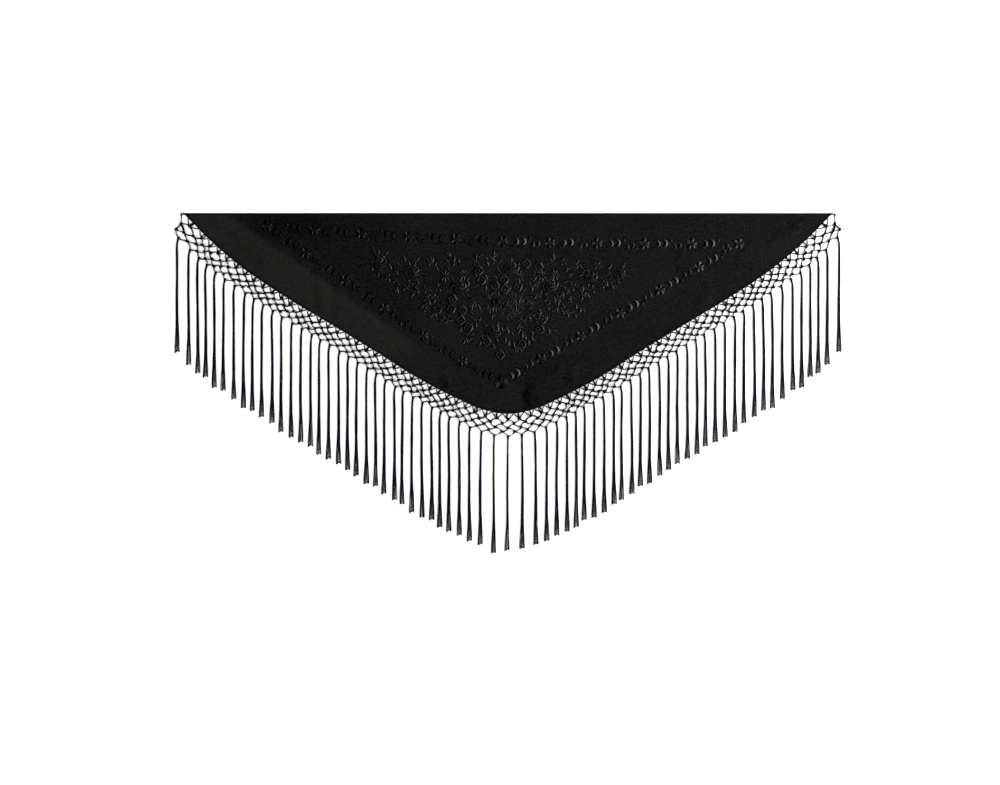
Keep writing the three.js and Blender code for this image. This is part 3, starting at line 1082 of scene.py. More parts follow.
@dataclass
class Net:
    """The net of one half: pairs of yarns, wound round each other and tied in four rows of knots."""

    plan: Plan
    half: Half
    yarn_radius: float = 0.86
    knot_yarn_radius: float = 1.3
    apart: float = 0.9
    height: float = 1.7
    bow: float = 3.4
    in_hem: float = 1.6
    loop_bow: float = 1.2
    loops_apart: float = 1.4
    tie_radius: float = 2.9
    tie_uneven: float = 0.7
    tie_length: float = 5.6
    tie_turns: float = 2.8
    tie_lift: float = 1.3

    def point(self, index: float, row: Row) -> np.ndarray:
        """Find a knot on this half."""
        return self.plan.knot(index, row) * (-self.half.value, 1)

    def at_hem(self, index: float) -> np.ndarray:
        """Find where yarns are drawn through the hem at a column."""
        return self.plan.beside_edge(self.plan.column(index), -self.in_hem) * (-self.half.value, 1)

    def build(self) -> bpy.types.Mesh:
        """Build the half net.

        Returns:
            Its mesh.
        """
        name = f"net_{self.half.name.lower()}"
        yarns = Yarns(name + "_yarns", self.plan, self.yarn_radius, 1)
        ties = Yarns(name + "_ties", self.plan, self.knot_yarn_radius, 1)
        last = int(self.plan.middle)
        for s in range(1, last + 1):
            self._column(yarns, s)
        for s in range(last):
            self._between(yarns, s + 0.5)
        on_middle = 1 if self.half is Half.LEFT else 0
        for s in range(1, last + on_middle):
            self._leg(yarns, s)
            for row in (Row.FIRST, Row.THIRD):
                self._tie(ties, s, row)
        for s in range(last):
            for row in (Row.SECOND, Row.FOURTH):
                self._tie(ties, s + 0.5, row)
        self._tip(yarns, ties)
        return joined(name, [yarns.mesh(), ties.mesh()])

    def _pair(self, yarns: Yarns, start: np.ndarray, end: np.ndarray, salt: float) -> None:
        """Lay a pair of yarns between two points of the net, bowed a little to one side.

        Args:
            yarns: what the pair is laid with.
            start: the first point's x and y.
            end: the second point's x and y.
            salt: what the pair's unevenness comes from.
        """
        # Most pairs cross once
        turns = 0.5 * (self.plan.uneven(salt, 31) > -0.3)
        bow = self.bow * self.plan.uneven(salt, 35)
        yarns.pair(start, end, self.apart, turns, 0.1 * self.plan.uneven(salt, 32), self.height, bow)

    def _leg(self, yarns: Yarns, s: int) -> None:
        """Lay the yarns that are drawn through the hem at a whole column.

        Args:
            yarns: what they are laid with.
            s: the column.
        """
        first = self.point(s, Row.FIRST)
        hem = self.at_hem(s)
        for aside in (-0.5, 0.5):
            offset = np.array([aside, aside * 0.4])
            self._pair(yarns, hem + offset, first + offset, s + 0.13 + aside)

    def _column(self, yarns: Yarns, s: int) -> None:
        """Lay what leaves the knots of a whole column's first and third rows.

        Args:
            yarns: what the yarns are laid with.
            s: the column.
        """
        first = self.point(s, Row.FIRST)
        third = self.point(s, Row.THIRD)
        for step in (-0.5, 0.5):
            if s + step < self.plan.middle:
                self._pair(yarns, first, self.point(s + step, Row.SECOND), s + 0.21 + step)
                self._pair(yarns, self.point(s + step, Row.SECOND), third, s + 0.37 + step)
                self._pair(yarns, third, self.point(s + step, Row.FOURTH), s + 0.43 + step)

    def _between(self, yarns: Yarns, s: float) -> None:
        """Lay the yarns that run from the hem at a half column to the knots of the first row beside it.

        Args:
            yarns: what they are laid with.
            s: the column.
        """
        hem = self.at_hem(s)
        steps = np.linspace(0, 1, 5)
        out = self.plan.outward(self.plan.column(s)) * (-self.half.value, 1)
        for step in (-0.5, 0.5):
            if 0 < s + step <= self.plan.middle:
                knot = self.point(s + step, Row.FIRST)
                for more in (0.0, self.loops_apart):
                    bow = np.outer((self.loop_bow + more) * np.sin(np.pi * steps), out)
                    flat = hem + np.outer(steps, knot - hem) + bow
                    yarns.lay(np.column_stack([flat, np.full(len(steps), self.height - 0.1 + 0.3 * more)]))

    def _tie(self, ties: Yarns, s: float, row: Row) -> None:
        """Tie one knot.

        Args:
            ties: what it is tied with.
            s: its column.
            row: its row.
        """
        out = self.plan.outward(self.plan.column(s)) * (-self.half.value, 1)
        size = self.tie_radius + self.tie_uneven * self.plan.uneven(s, 41 + row.value)
        height = self.height + self.tie_lift
        ties.wraps(self.point(s, row), out, size, self.tie_length, self.tie_turns, height)

    def _tip(self, yarns: Yarns, ties: Yarns) -> None:
        """Lay the loops at the tip.

        Args:
            yarns: what the net is laid with.
            ties: what its knots are tied with.
        """
        mirror = (-self.half.value, 1)
        hem = self.plan.beside_edge(0.06, -0.6) * mirror
        beside = self.plan.beside_edge(0.0, 5.6) * mirror
        second = self.point(0.5, Row.SECOND)
        self._pair(yarns, hem, beside, 0.71)
        self._pair(yarns, beside, second, 0.73)
        self._pair(yarns, second, self.point(0.5, Row.FOURTH), 0.79)
        self._pair(yarns, second, self.point(1, Row.THIRD), 0.83)
        ties.wraps(beside, self.plan.outward(0.0) * mirror, 1.9, 3.0, 2.2, self.height + 0.4)


@dataclass
class FringeRun:
    """A run of tassels with the net's last zigzag that they are tied to."""

    plan: Plan
    number: int
    first: int
    last: int
    yarns_in_tassel: int = 24
    yarn_radius: float = 0.5
    zigzag_radius: float = 0.7
    zigzag_apart: float = 0.9
    zigzag_bow: float = 2.8
    head_yarn_radius: float = 1.0
    length: float = 264.0
    uneven_length: float = 5.0
    longest: int = 34
    longest_extra: float = 10.0
    drop: float = 14.0
    swing: float = 5.5
    height: float = 1.7
    middle_pair: tuple[int, int] = (34, 35)
    middle_thin: float = 0.8
    knot: float = 2.7
    middle_knot: float = 3.1
    knot_length: float = 4.2
    knot_turns: float = 2.6
    knot_height: float = 2.9
    collar: float = 2.0
    collar_below: float = 4.8
    collar_length: float = 2.8
    collar_turns: float = 2.0
    collar_height: float = 2.3
    end_width: float = 6.2
    spread_from: float = 0.7
    end_drop: float = 0.5
    least_height: float = 0.62
    end_thickness: Pair = (1.25, 1.2)
    stations: tuple[float, ...] = (0.002, 0.02, 0.045, 0.09, 0.2, 0.36, 0.52, 0.66, 0.78, 0.88, 0.95, 1.0)

    def build(self) -> bpy.types.Mesh:
        """Build the run.

        Returns:
            Its mesh.
        """
        name = f"tassels_{self.number:02d}"
        zigzag = Yarns(name + "_zigzag", self.plan, self.zigzag_radius, 1)
        heads = Yarns(name + "_heads", self.plan, self.head_yarn_radius, 1)
        rim = Yarns(name + "_rim", self.plan, self.yarn_radius, 0)
        core = Yarns(name + "_core", self.plan, self.yarn_radius, 0)
        chance = random.Random(self.number)
        for index in range(self.first, self.last + 1):
            head = self.plan.knot(index, Row.HEADS)
            for step in (-0.5, 0.5):
                start = self.plan.knot(index + step, Row.FOURTH)
                turns = 0.5 * (self.plan.uneven(index + step, 33) > -0.3)
                bow = self.zigzag_bow * self.plan.uneven(index + step, 36)
                phase = 0.1 * self.plan.uneven(index + step, 34)
                zigzag.pair(start, head, self.zigzag_apart, turns, phase, self.height, bow)
            self._head(heads, index, head)
            self._strands(rim, core, index, head, chance)
        inner = core.mesh()
        # The inner yarns get painted glints on their frayed ends
        inner.attributes.new(FRAYED_WITH_PAINTED_GLINTS, "FLOAT", "POINT").data.foreach_set("value", [1.0] * len(inner.vertices))
        return joined(name, [zigzag.mesh(), heads.mesh(), rim.mesh(), inner])

    def _swing(self, index: int) -> float:
        """Give how far a tassel is thrown outwards before it hangs straight, in millimetres."""
        nearest = round(self.plan.column(index))
        return self.swing * self.plan.outwards[nearest][0]

    def _head(self, heads: Yarns, index: int, head: np.ndarray) -> None:
        """Tie a tassel's head: a thick knot and a collar under it.

        Args:
            heads: what it is tied with.
            index: the tassel's number from the left.
            head: its head's x and y.
        """
        lean = np.array([self._swing(index) / self.drop, -1.0])
        lean /= np.linalg.norm(lean)
        size = self.middle_knot if index in self.middle_pair else self.knot
        heads.wraps(head, lean, size, self.knot_length, self.knot_turns, self.knot_height)
        below = head + lean * self.collar_below
        heads.wraps(below, lean, self.collar, self.collar_length, self.collar_turns, self.collar_height)

    def _strands(self, rim: Yarns, core: Yarns, index: int, head: np.ndarray, chance: random.Random) -> None:
        """Hang a tassel's yarns, which widen into a brush with a notch at its end.

        Args:
            rim: the yarns at the tassel's sides.
            core: the yarns between them, which fray more and get painted glints at their ends.
            index: the tassel's number from the left.
            head: its head's x and y.
            chance: what its unevenness comes from.
        """
        plan = self.plan
        swing = self._swing(index)
        length = self.length + self.uneven_length * plan.uneven(index, 21)
        length += self.longest_extra if index == self.longest else 0.0
        sway = 1.6 * plan.uneven(index, 22) * math.copysign(1, index - plan.middle)
        thin = self.middle_thin if index in self.middle_pair else 1.0
        turn = 0.5 * plan.uneven(index, 23)
        shares = np.array(self.stations)
        spread = smooth_step((shares - self.spread_from) / 0.3)
        below = shares * length
        middle = np.interp(below, [0.5, self.drop, 0.5 * length], [0, swing, swing + sway])
        middle = middle + 0.35 * np.sin(below / 38 + index)
        width = np.interp(shares, [0, 0.02, 0.1, 0.4, 0.7], [1.6, 2.0, 2.5, 2.85, 3.2]) * thin
        width = width + (self.end_width - width) * spread
        flat = np.interp(shares, [0, 0.02, 0.1, 0.76, 1.0], [0.9, 1.3, 1.35, 1.3, 0.9])
        for k in range(self.yarns_in_tassel):
            angle = 2 * math.pi * (k * GOLDEN_TURN + 0.1 * chance.random())
            reach = ((k + 0.6) / self.yarns_in_tassel) ** 0.4
            twist = angle + 2 * np.pi * turn * (shares - 1)
            aside = reach * np.cos(twist)
            wander = 0.35 * np.sin(below / chance.uniform(17, 31) + chance.uniform(0, 6)) * (shares > 0.07)
            x = head[0] + middle + wander + width * aside
            at_end = reach * math.cos(angle)
            # The brush has a notch in its middle, and its right side is a little shorter
            shorter = 3.6 * (1 - min(abs(at_end) * 1.5, 1.0)) + chance.uniform(0, 2.6)
            shorter += 1.5 if at_end > 0 else 0.0
            y = head[1] - below * (1 - shorter / length * (shares > 0.8))
            z = 2.05 - self.end_drop * spread + flat * reach * np.sin(twist)
            thickness = [1.0] * (len(below) - 2) + list(self.end_thickness)
            strands = rim if abs(at_end) > 0.55 else core
            strands.lay(np.column_stack([x, y, np.maximum(z, self.least_height)]), thickness)


class Satin:
    """Satin stitch: pads of close threads, raised over padding, on one piece of the cloth."""

    FULL: ClassVar[int] = 3000  # vertices in one mesh, past which adding to it gets slow
    SUNK: ClassVar[float] = 0.05  # how far the pads' undersides are below the ground
    LEAST_WIDTH: ClassVar[float] = 0.12
    DOME: ClassVar[tuple[float, ...]] = (0.0, 0.82, 1.0, 0.82, 0.0)
    VEINED_DOME: ClassVar[tuple[float, ...]] = (0.0, 0.82, 0.5, 0.82, 0.0)
    LEAF_HEIGHT: ClassVar[float] = 1.6
    LEAF_SLANT: ClassVar[float] = 0.35
    VEIN_FROM: ClassVar[float] = 3.6  # the half width of a leaf from which its vein shows
    ARC_CREST: ClassVar[float] = 0.45
    CRESCENT_HEIGHT: ClassVar[float] = 3.0
    CRESCENT_CREST: ClassVar[float] = 0.72
    CRESCENT_REACH: ClassVar[float] = 0.51  # the radius of its line, as a share of its height
    STEM_HEIGHT: ClassVar[float] = 1.3
    STEM_STEP: ClassVar[float] = 2.4
    BLOSSOM_HEIGHT: ClassVar[float] = 2.4
    BLOSSOM_CREST: ClassVar[float] = 0.3
    BIG_ROSE: ClassVar[float] = 30.0  # the radius from which a rose is a mass of short petals
    ROSE_PETALS: ClassVar[int] = 150
    ROSE_TURN: ClassVar[float] = 2.4  # radians from one of them to the next
    ROSE_ARCS: ClassVar[tuple[tuple[float, int, float, float], ...]] = (
        # share of the radius, petals, half width for the radius, lift
        (0.84, 7, 0.15, 0.0), (0.58, 5, 0.13, 0.4), (0.33, 4, 0.12, 0.8), (0.12, 2, 0.09, 1.0),
    )
    BIG_ROSE_ARCS: ClassVar[tuple[tuple[float, int, float, float], ...]] = ((0.17, 3, 0.06, 1.4),)

    def __init__(self, plan: Plan, ground: float) -> None:
        """Start with nothing stitched.

        Args:
            plan: the shawl's plan.
            ground: how high the cloth's upper face is where it has no fold, in millimetres.
        """
        self.plan = plan
        self.ground = ground
        self.works: list[bmesh.types.BMesh] = []

    def pad(
        self,
        spine: Callable[[float], Pair],
        half_width: Callable[[float], float],
        length: float,
        height: float,
        *,
        lift: float = 0.0,
        slant: float = 0.0,
        crest: float = 0.0,
        vein: bool = False,
        step: float = 1.4,
    ) -> None:
        """Stitch one pad.

        Args:
            spine: gives the pad's middle line for a share of its length.
            half_width: gives half of its width for a share of its length, in millimetres.
            length: its length in millimetres.
            height: how high it is padded, in millimetres.
            lift: how high it starts above the cloth, where it lies over others.
            slant: how far the stitches slant, as a share of the half width.
            crest: how far the highest line lies to the left of the middle, as a share of the half width.
            vein: whether a groove runs down its middle, as in a leaf.
            step: the distance between its cross-sections, in millimetres.
        """
        work = self._room()
        columns = max(6, round(length / step))
        made = bmesh.ops.create_grid(work, x_segments=columns, y_segments=4, size=0.5)["verts"]
        profile = self.VEINED_DOME if vein else self.DOME
        places = {}
        for vert in made:
            u, v = vert.co.x + 0.5, 2 * vert.co.y
            x, y = spine(u)
            x_before, y_before = spine(max(u - 0.02, 0.0))
            x_after, y_after = spine(min(u + 0.02, 1.0))
            run = math.hypot(x_after - x_before, y_after - y_before) or 1.0
            along = ((x_after - x_before) / run, (y_after - y_before) / run)
            width = max(half_width(u), self.LEAST_WIDTH)
            places[vert] = (u * length * MM, v * width * MM)
            place = (v * 0.9 if abs(v) == 0.5 else v) + crest * (1 - abs(v))
            dome = profile[round((v + 1) * 2)]
            # Narrow ends are padded less
            full = min(1.0, 0.45 + width / 2.5)
            vert.co = (
                x - along[1] * width * place + along[0] * width * place * slant,
                y + along[0] * width * place + along[1] * width * place * slant,
                self.ground - self.SUNK + (lift + height * full) * dome,
            )
        uv = work.loops.layers.uv.verify()
        for face in {face for vert in made for face in vert.link_faces}:
            face.smooth = True
            for loop in face.loops:
                loop[uv].uv = places[loop.vert]
        rim = [edge for edge in {e for vert in made for e in vert.link_edges} if edge.is_boundary]
        bmesh.ops.edgeloop_fill(work, edges=rim)
        # A sharp rim keeps the flanks' shading apart from the flat underside's
        for edge in rim:
            edge.smooth = False

    def _room(self) -> bmesh.types.BMesh:
        """Find room for a pad, in another mesh once one is full, which keeps each step quick.

        Returns:
            The mesh to stitch into.
        """
        if not self.works or len(self.works[-1].verts) > self.FULL:
            self.works.append(bmesh.new())
        return self.works[-1]

    def dot(self, x: float, y: float, radius: float, height: float) -> None:
        """Stitch a round knot or padded dot.

        Args:
            x: its place across, in millimetres.
            y: its place down, in millimetres.
            radius: its radius in millimetres.
            height: how far it stands up, in millimetres.
        """
        work = self._room()
        place = Matrix.Translation((x, y, self.ground)) @ Matrix.Diagonal((1, 1, height / radius, 1))
        ball = bmesh.ops.create_uvsphere(work, u_segments=10, v_segments=6, radius=radius, matrix=place)
        made = ball["verts"]
        uv = work.loops.layers.uv.verify()
        for vert in made:
            vert.co.z = max(vert.co.z, self.ground - self.SUNK)
        for face in {face for vert in made for face in vert.link_faces}:
            face.smooth = True
            for loop in face.loops:
                loop[uv].uv = (loop.vert.co.y * MM, loop.vert.co.x * MM)

    def leaf(
        self, x: float, y: float, angle: float, length: float, half_width: float, bend: float = 0.0
    ) -> None:
        """Stitch a leaf or a narrow petal that starts at a point.

        Args:
            x: the place across of its foot.
            y: the place down of its foot.
            angle: where it points, in radians.
            length: its length in millimetres.
            half_width: half of its greatest width in millimetres.
            bend: how far it turns over its length, in radians.
        """

        def spine(u: float) -> Pair:
            """Give the middle line."""
            way = angle + bend * (u - 0.5)
            return x + length * u * math.cos(way), y + length * u * math.sin(way)

        def width(u: float) -> float:
            """Give half of the width."""
            return half_width * math.sin(math.pi * u**0.8) ** 0.9 if 0 < u < 1 else 0.0

        veined = half_width > self.VEIN_FROM
        self.pad(spine, width, length, self.LEAF_HEIGHT, vein=veined, slant=self.LEAF_SLANT)

    def petal(
        self,
        x: float,
        y: float,
        angle: float,
        start: float,
        end: float,
        half_width: float,
        lift: float = 0.0,
        height: float = 2.2,
    ) -> None:
        """Stitch a round petal that points away from a flower's middle.

        Args:
            x: the flower's place across.
            y: the flower's place down.
            angle: where the petal points, in radians.
            start: the distance of its foot from the middle, in millimetres.
            end: the distance of its tip.
            half_width: half of its greatest width.
            lift: how high it lies over others.
            height: how high it is padded.
        """

        def spine(u: float) -> Pair:
            """Give the middle line."""
            reach = start + (end - start) * u
            return x + reach * math.cos(angle), y + reach * math.sin(angle)

        def width(u: float) -> float:
            """Give half of the width."""
            return half_width * math.sin(math.pi * u**1.35) ** 0.55 if 0 < u < 1 else 0.3

        self.pad(spine, width, end - start, height, lift=lift)

    def arc(
        self,
        x: float,
        y: float,
        radius: float,
        start: float,
        end: float,
        half_width: float,
        lift: float,
        height: float,
        squash: float = 1.0,
    ) -> None:
        """Stitch a curved petal whose threads run towards a flower's middle.

        Args:
            x: the flower's place across.
            y: the flower's place down.
            radius: how far from the middle the petal's line runs.
            start: the angle where it starts, in radians.
            end: the angle where it ends.
            half_width: half of its greatest width.
            lift: how high it lies over others.
            height: how high it is padded.
            squash: how tall the flower is for its width.
        """

        def spine(u: float) -> Pair:
            """Give the middle line.

            Args:
                u: a share of its length.

            Returns:
                The x and y there.
            """
            angle = start + (end - start) * u
            reach = radius * (0.86 + 0.28 * u)
            return x + reach * math.cos(angle), y + squash * reach * math.sin(angle)

        def width(u: float) -> float:
            """Give half of the width."""
            return half_width * math.sin(math.pi * u) ** 0.45 if 0 < u < 1 else 0.2

        self.pad(spine, width, radius * abs(end - start), height, lift=lift, crest=self.ARC_CREST)

    def crescent(
        self, x: float, y: float, tall: float, fat: float, turn: float, half: Half, tail: float = 0.0
    ) -> None:
        """Stitch a crescent, whose bulge faces the nearer tip.

        Args:
            x: its place across.
            y: its place down.
            tall: its height in millimetres.
            fat: half of its greatest width.
            turn: how far it is turned, in radians.
            half: the half of the shawl that it is on.
            tail: how far its lower end is drawn out, in millimetres.
        """
        sign = half.value

        def spine(u: float) -> Pair:
            """Give the middle line.

            Args:
                u: a share of its length.

            Returns:
                The x and y there.
            """
            angle = (1 - 2 * u) * 1.35
            ahead = self.CRESCENT_REACH * tall * (math.cos(angle) - 0.7)
            up = self.CRESCENT_REACH * tall * math.sin(angle)
            pull = max(0.0, u - 0.7) / 0.3
            ahead -= tail * pull**1.3
            up -= 0.1 * tail * pull
            side = sign * ahead
            return (
                x + side * math.cos(turn) - up * math.sin(turn),
                y + side * math.sin(turn) + up * math.cos(turn),
            )

        def width(u: float) -> float:
            """Give half of the width."""
            body = max(math.sin(math.pi * min(u * 1.08, 1.0)), 0.0)
            return fat * body + (0.8 if tail and u > 0.8 else 0.0)

        # The padding is thickest along the hollow side
        crest = -self.CRESCENT_CREST * sign
        self.pad(spine, width, 1.4 * tall + tail, self.CRESCENT_HEIGHT, crest=crest)

    def stem(self, line: Sequence[Pair], half_width: float = 0.95) -> None:
        """Stitch a thin stem through points.

        Args:
            line: the points that it runs through, in millimetres.
            half_width: half of its width.
        """
        points = np.array(line, float)
        travelled = np.concatenate([[0], np.cumsum(np.linalg.norm(np.diff(points, axis=0), axis=1))])
        share = travelled / travelled[-1]

        def spine(u: float) -> Pair:
            """Give the middle line."""
            return float(np.interp(u, share, points[:, 0])), float(np.interp(u, share, points[:, 1]))

        length = float(travelled[-1])
        self.pad(spine, lambda u: half_width, length, self.STEM_HEIGHT, step=self.STEM_STEP)

    def small_flower(self, x: float, y: float, radius: float, petals: int, turn: float) -> None:
        """Stitch a flower of round petals with a knot in its middle.

        Args:
            x: its place across.
            y: its place down.
            radius: its radius in millimetres.
            petals: the number of petals.
            turn: how it is turned, in radians.
        """
        for k in range(petals):
            angle = turn + 2 * math.pi * k / petals
            self.petal(x, y, angle, 0.24 * radius, radius, 2.2 * radius / petals, height=1.6)
        self.dot(x, y, 0.16 * radius, 1.6)

    def daisy(self, x: float, y: float, radius: float, petals: int, turn: float) -> None:
        """Stitch a daisy of narrow pointed petals.

        Args:
            x: its place across.
            y: its place down.
            radius: its radius in millimetres.
            petals: the number of petals.
            turn: how it is turned, in radians.
        """
        for k in range(petals):
            angle = turn + 2 * math.pi * k / petals
            foot = 0.2 * radius
            half_width = radius * (0.2 if petals > 6 else 0.23)
            self.leaf(x + foot * math.cos(angle), y + foot * math.sin(angle), angle, 0.8 * radius, half_width)
        self.dot(x, y, 0.15 * radius, 1.1)

    def blossom(self, x: float, y: float, radius: float, turn: float) -> None:
        """Stitch a four-sided blossom, which stands on one corner, round an open middle.

        Args:
            x: its place across.
            y: its place down.
            radius: its radius in millimetres.
            turn: how it is turned, in radians.
        """
        corners = [
            (x + radius * math.cos(turn + math.pi * k / 2), y + radius * math.sin(turn + math.pi * k / 2))
            for k in range(5)
        ]
        for (x0, y0), (x1, y1) in zip(corners, corners[1:]):
            middle = ((x0 + x1) / 2 - x, (y0 + y1) / 2 - y)

            def spine(u: float) -> Pair:
                """Give the middle line."""
                out = 0.08 * math.sin(math.pi * u) - 0.13
                return x0 + (x1 - x0) * u + middle[0] * out, y0 + (y1 - y0) * u + middle[1] * out

            def width(u: float) -> float:
                """Give half of the width."""
                return 0.27 * radius * (0.35 + 0.65 * max(math.sin(math.pi * u), 0.0) ** 0.5)

            self.pad(spine, width, 1.41 * radius, self.BLOSSOM_HEIGHT, crest=self.BLOSSOM_CREST)
        self.dot(x, y, 0.24 * radius, 2.0)

    def rose(self, x: float, y: float, wide: float, tall: float, turn: float, seed: int) -> None:
        """Stitch an open rose: rings of petals, each over the last, or in a big one a mass of short petals.

        Args:
            x: its place across.
            y: its place down.
            wide: its greatest radius in millimetres.
            tall: its smallest radius.
            turn: how its petals are turned, in radians.
            seed: what its unevenness starts from.
        """
        chance = random.Random(seed)
        squash = tall / wide
        arcs = self.ROSE_ARCS
        if wide > self.BIG_ROSE:
            arcs = self.BIG_ROSE_ARCS
            # Short curled petals lie close, round a dark hollow towards the left
            for k in range(self.ROSE_PETALS):
                share = math.sqrt((k + 0.5) / self.ROSE_PETALS)
                angle = turn + self.ROSE_TURN * k
                at = (x + wide * share * math.cos(angle), y + tall * share * math.sin(angle))
                way = angle + math.pi / 2 + chance.uniform(-0.9, 0.9)
                reach = chance.uniform(3.0, 4.8)
                broad, height = chance.uniform(1.8, 2.7), chance.uniform(0.75, 1.15)
                if at[0] > x - 12 or abs(at[1] - y - 3) > 8:
                    self.petal(*at, way, -reach, reach, broad, 0.8 * (1 - share), height)
            self.crescent(x - 25, y + 3, 19, 4.5, 0.3, Half.LEFT)
            self.crescent(x - 14, y + 6, 15, 4.0, 0.5, Half.LEFT)
        for at, count, half_width, lift in arcs:
            for k in range(count):
                start = turn + at * 9 + 2 * math.pi * (k + chance.uniform(-0.2, 0.2)) / count
                sweep = 2 * math.pi / count * chance.uniform(0.8, 1.0)
                radius = at * wide * chance.uniform(0.9, 1.08)
                self.arc(x, y, radius, start, start + sweep, half_width * wide, lift, 1.8, squash)

    def spray(self, x: float, y: float, angle: float, length: float, leaves: int, bend: float) -> None:
        """Stitch a stem with leaves on alternate sides and one at its end.

        Args:
            x: the place across of its foot.
            y: the place down of its foot.
            angle: where it points, in radians.
            length: the stem's length in millimetres.
            leaves: the number of leaves at its sides.
            bend: how far it turns over its length, in radians.
        """
        points = []
        for k in range(7):
            u = k / 6
            way = angle + bend * u * 0.5
            points.append((x + length * u * math.cos(way), y + length * u * math.sin(way)))
        self.stem(points)
        for k in range(leaves):
            u = 0.25 + 0.65 * k / max(leaves - 1, 1)
            way = angle + bend * u * 0.5
            side = 1 if k % 2 else -1
            foot = (x + length * u * math.cos(way), y + length * u * math.sin(way))
            self.leaf(*foot, way + bend * u + side * 0.66, 14 + 4 * (1 - u), 3.0, side * 0.3)
        tip = points[-1]
        self.leaf(*tip, angle + bend, 17.0, 3.0)

    def mesh(self, name: str) -> bpy.types.Mesh:
        """Lay what is stitched on the cloth's folds.

        Args:
            name: the mesh's name.

        Returns:
            The mesh.
        """
        meshes = []
        for work in self.works:
            bmesh.ops.recalc_face_normals(work, faces=work.faces[:])
            meshes.append(bpy.data.meshes.new(name))
            work.to_mesh(meshes[-1])
            work.free()
        mesh = joined(name, meshes)
        places = np.zeros(len(mesh.vertices) * 3)
        mesh.vertices.foreach_get("co", places)
        places = places.reshape(-1, 3)
        places[:, 2] += self.plan.rise(places[:, 0], places[:, 1])
        mesh.vertices.foreach_set("co", self.plan.to_frame(places).ravel())
        mesh.update()
        return mesh


